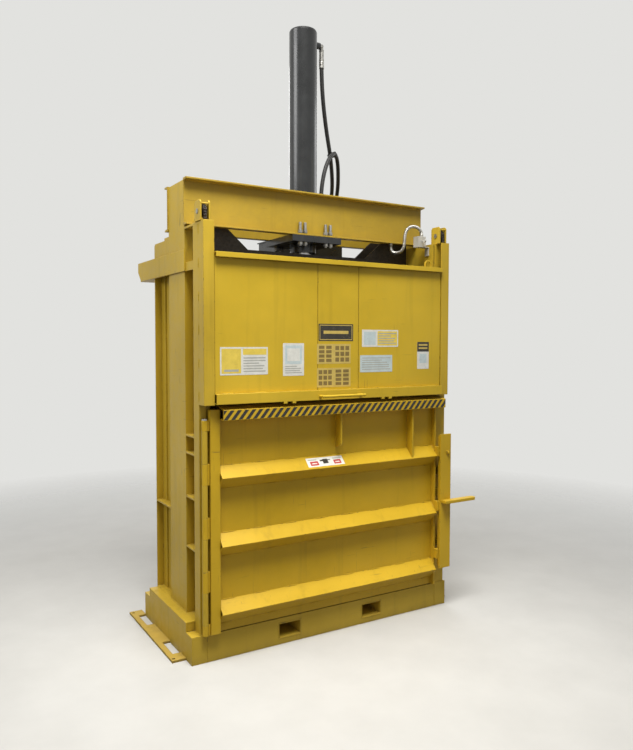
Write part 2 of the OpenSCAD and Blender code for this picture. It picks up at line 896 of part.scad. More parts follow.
module platen() {
  color(dark_steel) {
    difference() {
      union() {
        box([-platen_x, platen_x], [platen_y0, platen_y1], [platen_z, rod_foot_z]);
        translate([0, mid_y, rod_foot_z]) cylinder(r = hub_r, h = hub_h);
        // Cross beams, each a plate whose ends rise into sloping gussets
        for (y = wing_ys) along_y(y, y + wing_t)
          polygon([
            [-platen_x + 4, rod_foot_z], [platen_x - 4, rod_foot_z], [platen_x - 4, wing_top_z],
            [wing_foot_x + wing_run, wing_top_z], [wing_foot_x, beam_top_z],
            [-wing_foot_x, beam_top_z], [-wing_foot_x - wing_run, wing_top_z],
            [-platen_x + 4, wing_top_z]
          ]);
        // Short ribs between the beams and out to the front and back edges
        for (s = [-1, 1]) for (i = [1 : 3])
          translate([s * i * platen_rib_pitch - platen_rib_t / 2, 0, 0])
            box([0, platen_rib_t], [platen_y0 + 20, platen_y1 - 20], [rod_foot_z, rod_foot_z + 70]);
        for (y = [platen_y0, platen_y1 - 10])
          box([-platen_x, platen_x], [y, y + 10], [rod_foot_z, rod_foot_z + 60]);
      }
      // Socket of the piston rod
      translate([0, mid_y, rod_foot_z]) cylinder(r = rod_r, h = hub_h + over);
    }
  }
}

module piston_rod() {
  color(zinc) translate([0, mid_y, 0]) {
    translate([0, 0, rod_foot_z]) cylinder(r = rod_r, h = piston_z - rod_foot_z + 1);
    translate([0, 0, piston_z]) cylinder(r = bore_r - run_gap, h = piston_h);
  }
}

// Gate guides, chain housings and chains

module gate_guides() {
  color(yellow) both_sides() translate([0, 0, guide_z]) linear_extrude(post_top_z - guide_z)
    polygon([
      [guide_x, guide_y], [guide_x + guide_w, guide_y], [guide_x + guide_w, post_y],
      [guide_x, post_y], [guide_x, post_y - guide_t], [guide_x + guide_w - guide_t, post_y - guide_t],
      [guide_x + guide_w - guide_t, guide_y + guide_t], [guide_x, guide_y + guide_t]
    ]);
}

module chain_housings() {
  y0 = sheave_y - housing_front;
  y1 = sheave_y + housing_rear;
  top_z = post_top_z + housing_h;
  bevel = 12;
  color(yellow) both_sides() {
    difference() {
      for (x = [chain_x - slot_w / 2 - cheek_t, chain_x + slot_w / 2])
        along_x(x, x + cheek_t)
          polygon([
            [y0, post_top_z], [y1, post_top_z], [y1, top_z - bevel], [y1 - bevel, top_z],
            [y0 + bevel, top_z], [y0, top_z - bevel]
          ]);
      translate([chain_x - slot_w, sheave_y, sheave_z]) rotate([0, 90, 0])
        cylinder(r = axle_r, h = 2 * slot_w);
    }
    // Tie bars between the cheeks, above the chain
    for (y = [y0 + 10, y1 - 12])
      translate([chain_x - slot_w / 2, y, top_z - bevel - tie_r]) rotate([0, 90, 0])
        cylinder(r = tie_r, h = slot_w);
  }
}

module sheave_axles() {
  color(zinc) both_sides() translate([chain_x, sheave_y, sheave_z]) rotate([0, 90, 0]) {
    translate([0, 0, -slot_w / 2 - cheek_t - 3]) cylinder(r = axle_r, h = slot_w + 2 * cheek_t + 6);
    for (z = [-slot_w / 2 - cheek_t - axle_nut_t, slot_w / 2 + cheek_t])
      translate([0, 0, z]) hex_nut(14, axle_nut_t);
  }
}

module sheave() {
  color(dark_steel) translate([chain_x, sheave_y, sheave_z]) rotate([0, 90, 0]) difference() {
    rotate_extrude() polygon([
      [axle_r + axle_gap, -slot_w / 2 + touch], [14, -slot_w / 2 + touch], [14, -12],
      [sheave_rim_r - 2, -12], [sheave_rim_r, -10], [groove_r, -chain_w / 2 - 0.6],
      [groove_r, chain_w / 2 + 0.6], [sheave_rim_r, 10], [sheave_rim_r - 2, 12],
      [14, 12], [14, slot_w / 2 - touch], [axle_r + axle_gap, slot_w / 2 - touch]
    ]);
    for (a = [0 : 72 : 359])
      rotate(a) translate([20, 0, -15]) cylinder(r = 3.2, h = 30);
  }
}

module sheave_left() {
  mirrored() sheave();
}

module sheave_right() {
  sheave();
}

// Leaf chain running down from z = 0: waisted plates on both edges and in the middle, and pins
module chain_leg(links) {
  for (x = [-chain_w / 2, -plate_t / 2, chain_w / 2 - plate_t])
    along_x(x, x + plate_t) {
      for (i = [0 : links]) translate([0, -i * chain_pitch]) circle(r = chain_h / 2, $fn = 24);
      translate([-chain_h / 3, -links * chain_pitch]) square([2 * chain_h / 3, links * chain_pitch]);
    }
  for (i = [0 : links]) translate([-chain_w / 2, 0, -i * chain_pitch]) rotate([0, 90, 0])
    cylinder(r = chain_pin_r, h = chain_w, $fn = 24);
}

module chain_wrap() {
  step = 180 / wrap_links;
  inner = sheave_pitch_r - chain_h / 3;
  outer = sheave_pitch_r + chain_h / 3;
  translate([chain_x, sheave_y, sheave_z]) {
    for (x = [-chain_w / 2, -plate_t / 2, chain_w / 2 - plate_t])
      along_x(x, x + plate_t) {
        for (i = [0.5 : wrap_links]) rotate(i * step) translate([sheave_pitch_r, 0])
          circle(r = chain_h / 2, $fn = 24);
        intersection() {
          difference() {
            circle(r = outer);
            circle(r = inner);
          }
          translate([-2 * outer, 0.3]) square([4 * outer, 2 * outer]);
        }
      }
    for (i = [0.5 : wrap_links]) rotate([i * step, 0, 0]) translate([-chain_w / 2, sheave_pitch_r, 0])
      rotate([0, 90, 0]) cylinder(r = chain_pin_r, h = chain_w, $fn = 24);
  }
}

module chain_wraps() {
  color(dark_steel) both_sides() chain_wrap();
}

module chain_front() {
  color(dark_steel) translate([chain_x, chain_y, front_chain_z]) chain_leg(front_links);
}

module chain_front_left() {
  mirrored() chain_front();
}

module chain_front_right() {
  chain_front();
}

// Two ears of a clevis round the lowest chain pin, between the chain's plates
module chain_ears(foot) {
  for (x = [-chain_w / 4 - ear_t / 2, chain_w / 4 - ear_t / 2])
    along_x(x, x + ear_t) difference() {
      union() {
        circle(r = ear_r, $fn = 32);
        translate([-ear_r, -foot]) square([2 * ear_r, foot]);
      }
      circle(r = chain_pin_r, $fn = 32);
    }
}

module counterweight(post_inner_x) {
  x0 = post_inner_x + post_wall + weight_gap;
  color(dark_steel) {
    box([x0, x0 + weight_w], [post_mid_y - weight_d / 2, post_mid_y + weight_d / 2],
      [weight_top_z - weight_l, weight_top_z]);
    translate([chain_x, chain_back_y, rear_pin_z]) chain_ears(rear_pin_z - weight_top_z);
  }
}

module chain_rear() {
  color(dark_steel) translate([chain_x, chain_back_y, rear_chain_z]) chain_leg(back_links);
}

module counterweight_left() {
  mirrored() counterweight(left_post_x);
}

module counterweight_right() {
  counterweight(post_x);
}

module chain_rear_left() {
  mirrored() chain_rear();
}

module chain_rear_right() {
  chain_rear();
}

// Feed gate

module gate_sheets() {
  color(yellow) {
    z0 = gate_z + gate_rail_h;
    z1 = gate_top_z - gate_top_h;
    box([-gate_mid_w / 2, gate_mid_w / 2], [gate_y, gate_y + gate_sheet_t], [z0, z1]);
    both_sides()
      box([gate_mid_w / 2 + gate_seam, gate_x], [gate_y, gate_y + gate_sheet_t], [z0, z1]);
  }
}

module gate_frame() {
  back0 = gate_y + gate_sheet_t;
  color(yellow) {
    // Top bar: a rolled angle, one leg proud of the sheets and one leg behind them
    along_x(-gate_x, gate_x) polygon([
      [gate_y - gate_proud, gate_top_z - gate_top_h], [gate_y - gate_proud + 6, gate_top_z - gate_top_h],
      [gate_y - gate_proud + 6, gate_top_z - 6], [back0, gate_top_z - 6], [back0, gate_top_z - 46],
      [back0 + 6, gate_top_z - 46], [back0 + 6, gate_top_z - 6], [gate_back_y, gate_top_z - 6],
      [gate_back_y, gate_top_z], [gate_y - gate_proud, gate_top_z]
    ]);
    // Bottom rail: folded channel with a flat ledge on top
    along_x(-gate_x, gate_x) polygon([
      [gate_y - gate_proud, gate_z], [gate_back_y, gate_z], [gate_back_y, gate_z + gate_rail_h],
      [gate_back_y - 5, gate_z + gate_rail_h], [gate_back_y - 5, gate_z + 5],
      [gate_y - gate_proud + 5, gate_z + 5], [gate_y - gate_proud + 5, gate_z + gate_rail_h - 5],
      [back0 + 6, gate_z + gate_rail_h - 5], [back0 + 6, gate_z + gate_rail_h],
      [gate_y - gate_proud, gate_z + gate_rail_h]
    ]);
    // Stiles and uprights behind the sheets
    both_sides() {
      translate([gate_x - frame_bar, back0, gate_z + gate_rail_h])
        linear_extrude(gate_h - gate_rail_h - 46) tube_section(frame_bar, gate_back_y - back0, 4);
      translate([gate_mid_w / 2 - 14, back0, gate_z + gate_rail_h])
        linear_extrude(gate_h - gate_rail_h - 46) tube_section(30, gate_back_y - back0, 4);
    }
    // Lugs that the chains pull on
    both_sides() {
      box([gate_x, chain_x + 12], [chain_y - 9, chain_y + 9], [lug_z - lug_t, lug_z]);
      translate([chain_x, chain_y, front_pin_z]) chain_ears(ear_foot);
    }
    // Feet that stop just above the sill
    both_sides() for (x = [gate_foot_x, gate_foot_x + gate_foot_pitch])
      box([x, x + gate_foot_w], [gate_y - gate_proud, gate_y - gate_proud + 16], [sill_top_z + 1, gate_z]);
    // Arch on top that works the gate switch
    along_y(gate_back_y - 26, gate_back_y - 18) translate([arch_x, gate_top_z]) difference() {
      union() {
        translate([-arch_r, 0]) square([2 * arch_r, arch_h - arch_r]);
        translate([0, arch_h - arch_r]) circle(r = arch_r);
      }
      translate([arch_t - arch_r, -over]) square([2 * (arch_r - arch_t), arch_h - arch_r + over]);
      translate([0, arch_h - arch_r]) circle(r = arch_r - arch_t);
    }
  }
}

module gate_handle() {
  y0 = gate_y - gate_proud;
  z0 = gate_z + 22;
  color(yellow) {
    translate([-gate_handle_l / 2, y0 - 40, z0]) rotate([0, 90, 0]) cylinder(r = 8, h = gate_handle_l);
    both_sides() translate([gate_handle_l / 2 - 8, y0, z0]) rotate([90, 0, 0]) cylinder(r = 8, h = 40);
  }
}

module gate_shoes() {
  color(white_plastic) both_sides() for (z = shoe_zs)
    box([gate_x, guide_x + guide_w - guide_t - shoe_gap],
      [guide_in_y0 + shoe_gap, guide_in_y1 - shoe_gap], [z, z + shoe_l]);
}

// Bale door

module door_skin() {
  color(yellow) box([-stile_x, lock_x], [0, door_t], [door_z, door_top_z]);
}

module door_stiles() {
  color(yellow) {
    translate([-stile_x, -stile_d, door_z])
      linear_extrude(door_top_z + sill_h - door_z) tube_section(stile_w, stile_d, stile_wall);
    box([-stile_x + stile_wall, -stile_in_x - stile_wall], [-stile_d + stile_wall, -stile_wall],
      [door_z, door_z + stile_wall]);
    box([-stile_x + stile_wall, -stile_in_x - stile_wall], [-stile_d + stile_wall, -stile_wall],
      [door_top_z + sill_h - stile_wall, door_top_z + sill_h]);
    box([lock_x - lock_stile_w, lock_x], [-stile_d, 0], [door_z, door_top_z]);
  }
}

// Angle rib, both toes on the skin and the corner forward
module angle_rib(z) {
  r = rib_reach;
  t = rib_leg_t * sqrt(2);
  along_x(rib_ends[0], rib_ends[1])
    polygon([[0, z + r], [-r, z], [0, z - r], [0, z - r + t], [-r + t, z], [0, z + r - t]]);
}

module door_ribs() {
  color(yellow) for (i = [0 : 2]) angle_rib(rib_z + i * rib_pitch);
}

module door_gussets() {
  top_rib = rib_z + 2 * rib_pitch;
  color(yellow) {
    // Long gusset from the sill to the sloping face of the top rib
    along_x(gusset_xs[1], gusset_xs[1] + gusset_t)
      polygon([
        [0, door_top_z], [-gusset_d, door_top_z], [-gusset_d, top_rib + rib_reach - gusset_d],
        [0, top_rib + rib_reach]
      ]);
    // Short gusset that stops clear of the rib
    along_x(gusset_xs[0], gusset_xs[0] + gusset_t)
      polygon([
        [0, door_top_z], [-gusset_d, door_top_z], [-gusset_d, gusset_foot_zs[0]],
        [0, gusset_foot_zs[0] - 20]
      ]);
  }
}

module door_sill() {
  z0 = door_top_z;
  z1 = z0 + sill_h;
  back = door_t;
  color(yellow) difference() {
    along_x(sill_ends[0], sill_ends[1]) difference() {
      polygon([[back, z0], [-sill_d, z0], [-sill_d, z1], [-10, sill_top_z], [back, sill_top_z]]);
      polygon([
        [back + over, z0 + sill_t], [-sill_d + sill_t, z0 + sill_t],
        [-sill_d + sill_t, z1 - sill_t / 2], [-10, sill_top_z - sill_t],
        [back + over, sill_top_z - sill_t]
      ]);
    }
    // The end that reaches in front of the post is cut back
    box([lock_x, sill_ends[1] + over], [-8, back + over], [z0 - over, sill_top_z + over]);
  }
}

module knuckle(z, l) {
  translate([-hinge_x, hinge_y, z]) difference() {
    cylinder(r = knuckle_r, h = l);
    translate([0, 0, -over]) cylinder(r = knuckle_bore_r, h = l + 2 * over);
  }
}

// Start heights of the door's knuckles and their lengths
function door_knuckles() = [
  for (i = [0 : 4])
    i == 0 ? [hinge_z, end_knuckle_l] :
    i == 4 ? [hinge_top_z - end_knuckle_l, end_knuckle_l] :
    [hinge_z + end_knuckle_l + post_knuckle_l + (i - 1) * knuckle_step, door_knuckle_l]
];

module hinge_knuckles_post() {
  color(yellow) for (i = [0 : 3]) {
    z = hinge_z + end_knuckle_l + i * knuckle_step + knuckle_gap;
    l = post_knuckle_l - 2 * knuckle_gap;
    difference() {
      union() {
        knuckle(z, l);
        box([-hinge_x - 9, -hinge_x + 9], [hinge_y + knuckle_bore_r, post_y], [z, z + l]);
      }
      translate([-hinge_x, hinge_y, z - over]) cylinder(r = knuckle_bore_r, h = l + 2 * over);
    }
  }
}

module door_hinge_knuckles() {
  color(yellow) for (k = door_knuckles())
    difference() {
      union() {
        knuckle(k[0], k[1]);
        box([-hinge_x + knuckle_bore_r, -stile_x], [hinge_y - 6, hinge_y + 6], [k[0], k[0] + k[1]]);
      }
      translate([-hinge_x, hinge_y, k[0] - over]) cylinder(r = knuckle_bore_r, h = k[1] + 2 * over);
    }
}

module hinge_rod() {
  color(zinc) translate([-hinge_x, hinge_y, 0]) {
    translate([0, 0, hinge_z - 2]) cylinder(r = hinge_rod_r, h = hinge_top_z - hinge_z + 6);
    translate([0, 0, hinge_top_z + 0.5]) cylinder(r = hinge_rod_r + 5, h = 8);
  }
}

// Door latch: a sliding bar on the door whose hooks drop behind staples on the post

module latch_brackets() {
  color(yellow) for (z = bracket_zs)
    translate([0, 0, z]) linear_extrude(bracket_h) {
      inner = runner_w / 2 + slide_gap;
      neck = runner_stem_w / 2 + slide_gap;
      y_lip = latch_back_y + slide_gap;
      y_back = runner_neck_y + runner_t + slide_gap;
      difference() {
        translate([lock_x - lock_stile_w, y_lip])
          square([runner_x + inner + bracket_t - lock_x + lock_stile_w, y_back + bracket_t - y_lip]);
        translate([runner_x - inner, runner_neck_y - slide_gap])
          square([2 * inner, y_back - runner_neck_y + slide_gap]);
        translate([runner_x - neck, y_lip - over]) square([2 * neck, runner_neck_y - y_lip + over]);
      }
      translate([lock_x - lock_stile_w, y_back + bracket_t])
        square([lock_stile_w, -stile_d - y_back - bracket_t]);
    }
}

module latch_staples() {
  color(yellow) for (z = staple_zs)
    translate([0, 0, z]) linear_extrude(staple_h) difference() {
      translate([staple_x - staple_w / 2, staple_front_y]) square([staple_w, post_y - staple_front_y]);
      translate([staple_x - staple_w / 2 + staple_t, staple_front_y + staple_t])
        square([staple_w - 2 * staple_t, post_y - staple_front_y - staple_t + over]);
    }
}

module latch_bar() {
  hook_y = staple_front_y + staple_t + 4;
  color(yellow) {
    box([latch_x, latch_x + latch_w], [latch_front_y, latch_back_y], [latch_z, latch_z + latch_l]);
    translate([runner_x - runner_stem_w / 2, latch_back_y, latch_z + 10])
      cube([runner_stem_w, runner_neck_y - latch_back_y, latch_l - 20]);
    translate([runner_x - runner_w / 2, runner_neck_y, latch_z + 10])
      cube([runner_w, runner_t, latch_l - 20]);
    // Hooks: an arm back from the bar, and a tip that drops into the staple
    for (z = staple_zs) {
      tip_z = z + staple_h + hook_gap;
      arm_low_z = tip_z + latch_travel;
      box([staple_x - hook_w / 2, staple_x + hook_w / 2], [latch_back_y, hook_y + hook_t],
        [arm_low_z, arm_low_z + hook_arm_h]);
      box([staple_x - hook_w / 2, staple_x + hook_w / 2], [hook_y, hook_y + hook_t],
        [tip_z, arm_low_z]);
    }
    // Pin with its washer near the top of the bar
    translate([latch_x + latch_w - 26, latch_front_y, latch_z + latch_l - 118]) rotate([90, 0, 0]) {
      cylinder(r = 14, h = 4);
      cylinder(r = 8, h = 14);
    }
  }
}

module latch_handle() {
  x0 = latch_x + 8;
  x1 = latch_x + latch_w / 2 + latch_handle_l;
  end_r = handle_h / 2;
  color(yellow) translate([0, latch_front_y - end_r, latch_handle_z - handle_t / 2])
    linear_extrude(handle_t) {
      translate([x0, -end_r]) square([x1 - x0 - end_r, handle_h]);
      translate([x1 - end_r, 0]) circle(r = end_r);
    }
}

// Power unit on the rear shelf

module unit_shelf() {
  color(yellow) {
    box([-side_x, side_x], [deck_y, arm_end_y - 20], [deck_z, deck_z + deck_t]);
    for (y = [deck_y, arm_end_y - 20 - 8])
      box([-side_x, side_x], [y, y + 8], [deck_z + deck_t, deck_z + deck_t + 40]);
  }
}

module oil_tank() {
  color(black_paint) {
    difference() {
      box([tank_x, tank_x + tank_w], [tank_y, tank_y + tank_d], [tank_z, tank_top_z - 6]);
      box([tank_x + 4, tank_x + tank_w - 4], [tank_y + 4, tank_y + tank_d - 4],
        [tank_z + 4, tank_top_z - 6 + over]);
    }
    box([tank_x - 10, tank_x + tank_w + 10], [tank_y - 10, tank_y + tank_d + 10],
      [tank_top_z - 6, tank_top_z]);
  }
  color(zinc) translate([tank_x + tank_w - 40, tank_y + tank_d - 40, tank_top_z]) {
    cylinder(r = 18, h = 12);
    translate([0, 0, 12]) cylinder(r = 26, h = 26);
  }
}

module pump_motor() {
  color(grey_paint) translate([motor_x, motor_y, motor_z]) {
    rotate([0, 90, 0]) {
      cylinder(r = motor_r - 7, h = motor_l);
      for (a = [0 : 15 : 359]) rotate(a) translate([motor_r - 8, -1.5, 24]) cube([8, 3, motor_l - 48]);
      translate([0, 0, -14]) cylinder(r = motor_r - 3, h = 22);
      translate([0, 0, motor_l - 8]) cylinder(r = motor_r - 3, h = 22);
    }
    for (x = [30, motor_l - 60])
      box([x, x + 30], [-motor_r + 14, motor_r - 14], [tank_top_z - motor_z, -motor_r / 2]);
    box([motor_l / 2 - 50, motor_l / 2 + 50], [-40, 40], [motor_r - 12, motor_r + 36]);
  }
  color(grey_paint) translate([motor_x + motor_l + 14, motor_y, motor_z]) {
    rotate([0, 90, 0]) cylinder(r = 34, h = 26);
    box([26, 26 + pump_t], [-32, 32], [-36, 36]);
    // Suction pipe down into the tank and pressure pipe across to the valve block
    translate([26 + pump_t / 2, 0, tank_top_z - motor_z]) cylinder(r = 12, h = motor_z - tank_top_z - 36);
    translate([26 + pump_t, 0, valve_top_z - motor_z - 14]) rotate([0, 90, 0])
      cylinder(r = 8, h = valve_x - valve_w / 2 - motor_x - motor_l - 14 - 26 - pump_t);
  }
}

module valve_block() {
  color(zinc)
    box([valve_x - valve_w / 2, valve_x + valve_w / 2], [valve_y - 35, valve_y + 35],
      [valve_z, valve_z + valve_h]);
  color(dark_steel)
    for (s = [-1, 1]) translate([valve_x, valve_y + s * 35, valve_z + valve_h / 2])
      rotate([-90 * s, 0, 0]) cylinder(r = 17, h = 46);
}

module starter_box() {
  z0 = deck_z + deck_t;
  y1 = deck_y + 60 + starter_d;
  color(grey_paint) {
    box([-starter_x - starter_w, -starter_x], [deck_y + 60, y1], [z0, z0 + starter_h]);
    box([-starter_x - starter_w + 5, -starter_x - 5], [y1, y1 + 14], [z0 + 5, z0 + starter_h - 5]);
  }
}

module interlock_switch() {
  color(white_plastic) {
    box([switch_x, switch_x + switch_w], [switch_y - 26, switch_y + 26],
      [switch_top_z - switch_h, switch_top_z - 6]);
    translate([switch_boss_x, switch_y, switch_top_z - 6]) cylinder(r = conduit_r + 4, h = 6);
    // Roller lever that the gate's arch meets
    box([switch_x + switch_w / 2 - 4, switch_x + switch_w / 2 + 4], [switch_y - 44, switch_y - 26],
      [switch_top_z - 40, switch_top_z - 32]);
    translate([switch_x + switch_w / 2 - 5, switch_y - 50, switch_top_z - 36]) rotate([0, 90, 0])
      cylinder(r = 11, h = 10);
    // Angle bracket to the side wall
    box([switch_x + switch_w, wall_x - 6], [switch_y - 18, switch_y + 18],
      [switch_top_z - switch_h, switch_top_z - switch_h + 6]);
    box([wall_x - 6, wall_x], [switch_y - 18, switch_y + 18],
      [switch_top_z - switch_h - switch_bracket_h, switch_top_z - switch_h + 6]);
  }
}

module switch_conduit() {
  color(zinc) swept_tube(switch_route, conduit_r, 8, [0, 1, 0]);
}

placed() base_beams();
placed() base_feet();
placed() base_side_rails();
placed() fork_tubes();
placed() chamber_floor();
placed() anchor_flanges();
placed() front_posts();
placed() side_wall_left();
placed() side_wall_right();
placed() side_stiffeners();
placed() columns();
placed() back_wall();
placed() back_frame();
placed() shelf_arms();
placed() crosshead_front();
placed() crosshead_rear();
placed() cylinder_mount_plate();
placed() mount_studs();
placed() cylinder_barrel();
placed() cylinder_gland();
placed() port_elbows();
placed() hose_cap_end();
placed() hose_rod_end();
placed() gate_guides();
placed() chain_housings();
placed() sheave_axles();
placed() chain_wraps();
placed() hinge_knuckles_post();
placed() hinge_rod();
placed() latch_staples();
placed() unit_shelf();
placed() oil_tank();
placed() pump_motor();
placed() valve_block();
placed() starter_box();
placed() interlock_switch();
placed() switch_conduit();
placed() door_skin();
placed() door_stiles();
placed() door_ribs();
placed() door_gussets();
placed() door_sill();
placed() door_hinge_knuckles();
placed() latch_brackets();
placed() latch_bar();
placed() latch_handle();
placed() gate_sheets();
placed() gate_frame();
placed() gate_handle();
placed() gate_shoes();
placed() chain_front_left();
placed() chain_front_right();
placed() sheave_left();
placed() sheave_right();
placed() counterweight_left();
placed() counterweight_right();
placed() chain_rear_left();
placed() chain_rear_right();
placed() platen();
placed() piston_rod();
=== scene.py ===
import math
import random

import bpy
import bmesh
from mathutils import Matrix, Vector


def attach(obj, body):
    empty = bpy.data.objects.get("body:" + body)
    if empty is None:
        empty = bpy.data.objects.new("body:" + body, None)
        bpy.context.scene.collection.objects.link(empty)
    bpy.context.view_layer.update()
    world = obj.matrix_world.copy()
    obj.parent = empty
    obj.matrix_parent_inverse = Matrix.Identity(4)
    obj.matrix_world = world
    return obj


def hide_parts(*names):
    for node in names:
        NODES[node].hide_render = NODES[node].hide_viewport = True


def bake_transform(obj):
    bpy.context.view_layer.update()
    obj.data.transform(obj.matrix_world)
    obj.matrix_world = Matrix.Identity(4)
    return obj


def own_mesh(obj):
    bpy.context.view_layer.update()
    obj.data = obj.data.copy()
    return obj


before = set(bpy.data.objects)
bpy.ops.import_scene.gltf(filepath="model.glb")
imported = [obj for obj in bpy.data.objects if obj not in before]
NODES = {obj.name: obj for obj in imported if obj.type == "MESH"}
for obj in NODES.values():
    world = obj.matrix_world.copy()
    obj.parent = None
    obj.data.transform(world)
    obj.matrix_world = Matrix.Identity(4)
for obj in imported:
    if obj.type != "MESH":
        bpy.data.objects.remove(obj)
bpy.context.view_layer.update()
scene = bpy.context.scene
scene.view_settings.view_transform = "Standard"


# Camera, floor and light

# The camera fitted to the photograph: metres and radians
CAMERA_PLACE = (-2.175006, -3.893685, 1.707134)
CAMERA_YAW = 0.543862
CAMERA_PITCH = 0.04625
CAMERA_ROLL = 0.001955
FOCAL_PX = 695.226
PHOTO_HEIGHT_PX = 750
SENSOR_MM = 36

FLOOR_HALF = 24
FLOOR_SINK = 0.0005
# Distances from the origin, under the object, between which the floor fades into the background
FADE_FROM = 2.2
FADE_TO = 5.5
FILL_TINT = (1, 0.985, 0.96, 1)
FILL_STRENGTH = 0.26


def make_camera():
    yaw, pitch, roll = CAMERA_YAW, CAMERA_PITCH, CAMERA_ROLL
    ahead = Vector((math.sin(yaw) * math.cos(pitch), math.cos(yaw) * math.cos(pitch), -math.sin(pitch)))
    right = Vector((math.cos(yaw), -math.sin(yaw), 0))
    up = right.cross(ahead)
    c, s = math.cos(roll), math.sin(roll)
    right, up = c * right + s * up, c * up - s * right
    data = bpy.data.cameras.new("camera")
    data.sensor_fit = "AUTO"
    data.sensor_width = SENSOR_MM
    data.lens = SENSOR_MM * FOCAL_PX / PHOTO_HEIGHT_PX
    data.clip_end = 200
    cam = bpy.data.objects.new("camera", data)
    scene.collection.objects.link(cam)
    turn = Matrix((right, up, -ahead)).transposed().to_4x4()
    cam.matrix_world = Matrix.Translation(CAMERA_PLACE) @ turn
    scene.camera = cam


def rgb(r, g, b):
    """Linear colour of an 8-bit screen colour."""
    def one(v):
        v /= 255
        return v / 12.92 if v <= 0.04045 else ((v + 0.055) / 1.055) ** 2.4
    return (one(r), one(g), one(b), 1)


def shaded(colour, factor, lift=0.0):
    """A darker or paler version of a linear colour."""
    return tuple(min(1, v * factor + lift) for v in colour[:3]) + (1,)


class Graph:
    """A material with short calls for its nodes."""

    def __init__(self, name):
        self.material = bpy.data.materials.new(name)
        self.material.use_nodes = True
        self.tree = self.material.node_tree
        self.tree.nodes.clear()
        self.out = self.add("ShaderNodeOutputMaterial")
        self.shader = self.add("ShaderNodeBsdfPrincipled")
        self.link(self.shader.outputs[0], self.out.inputs[0])
        self.place = self.add("ShaderNodeTexCoord").outputs["Object"]
        self.normal = self.add("ShaderNodeNewGeometry").outputs["Normal"]

    def add(self, kind, **values):
        node = self.tree.nodes.new(kind)
        for key, value in values.items():
            setattr(node, key, value)
        return node

    def link(self, a, b):
        self.tree.links.new(a, b)

    def put(self, socket, value):
        if isinstance(value, bpy.types.NodeSocket):
            self.link(value, socket)
        else:
            socket.default_value = value

    def scaled(self, scale, turn=(0, 0, 0)):
        node = self.add("ShaderNodeMapping")
        self.link(self.place, node.inputs["Vector"])
        node.inputs["Scale"].default_value = scale
        node.inputs["Rotation"].default_value = turn
        return node.outputs[0]

    def noise(self, scale, detail=3, rough=0.5, place=None):
        node = self.add("ShaderNodeTexNoise")
        self.link(place or self.place, node.inputs["Vector"])
        node.inputs["Scale"].default_value = scale
        node.inputs["Detail"].default_value = detail
        node.inputs["Roughness"].default_value = rough
        return node.outputs["Fac"]

    def math(self, operation, a, b, clamp=False):
        node = self.add("ShaderNodeMath", operation=operation, use_clamp=clamp)
        self.put(node.inputs[0], a)
        self.put(node.inputs[1], b)
        return node.outputs[0]

    def span(self, value, low, high, a=0.0, b=1.0):
        """Value from low to high, carried over to a to b and held there."""
        node = self.add("ShaderNodeMapRange", clamp=True)
        self.put(node.inputs["Value"], value)
        for key, v in (("From Min", low), ("From Max", high), ("To Min", a), ("To Max", b)):
            node.inputs[key].default_value = v
        return node.outputs[0]

    def mix(self, share, a, b):
        node = self.add("ShaderNodeMix", data_type="RGBA")
        self.put(node.inputs["Factor"], share)
        # Inputs 6 and 7 and output 2 are the colour ones of this node
        self.put(node.inputs[6], a)
        self.put(node.inputs[7], b)
        return node.outputs[2]

    def height(self, vector):
        node = self.add("ShaderNodeSeparateXYZ")
        self.link(vector, node.inputs[0])
        return node.outputs["Z"]

    def dot(self, a, b):
        node = self.add("ShaderNodeVectorMath", operation="DOT_PRODUCT")
        self.put(node.inputs[0], a)
        self.put(node.inputs[1], b)
        return node.outputs["Value"]

    def rounded(self, radius):
        node = self.add("ShaderNodeBevel", samples=4)
        node.inputs["Radius"].default_value = radius
        return node.outputs[0]

    def bump(self, height, distance, strength=1.0, normal=None):
        node = self.add("ShaderNodeBump")
        node.inputs["Strength"].default_value = strength
        node.inputs["Distance"].default_value = distance
        self.put(node.inputs["Height"], height)
        if normal:
            self.link(normal, node.inputs["Normal"])
        return node.outputs[0]

    def corners(self, distance):
        """Ambient occlusion: 1 deep in a corner and 0 on an open face, the mask of painted shade."""
        node = self.add("ShaderNodeAmbientOcclusion", samples=4)
        node.inputs["Distance"].default_value = distance
        return self.math("SUBTRACT", 1.0, node.outputs["AO"])

    def end(self, colour, roughness, normal=None, metallic=0.0, coat=0.0, coat_roughness=0.1, specular=0.5):
        self.put(self.shader.inputs["Base Color"], colour)
        self.put(self.shader.inputs["Roughness"], roughness)
        self.shader.inputs["Metallic"].default_value = metallic
        self.shader.inputs["Coat Weight"].default_value = coat
        self.shader.inputs["Coat Roughness"].default_value = coat_roughness
        self.shader.inputs["Specular IOR Level"].default_value = specular
        if normal:
            self.link(normal, self.shader.inputs["Normal"])
        return self.material


# Colours of wear and dirt; the grime colour also paints shade in corners
STEEL = rgb(66, 54, 40)
DIRT_AND_SHADE = rgb(62, 46, 14)
DUST = rgb(150, 134, 92)
SCUFF = rgb(122, 98, 46)
RICH_YELLOW = rgb(224, 184, 40)
# A paint with more red than this is one of the yellows
YELLOW_FROM = 0.3


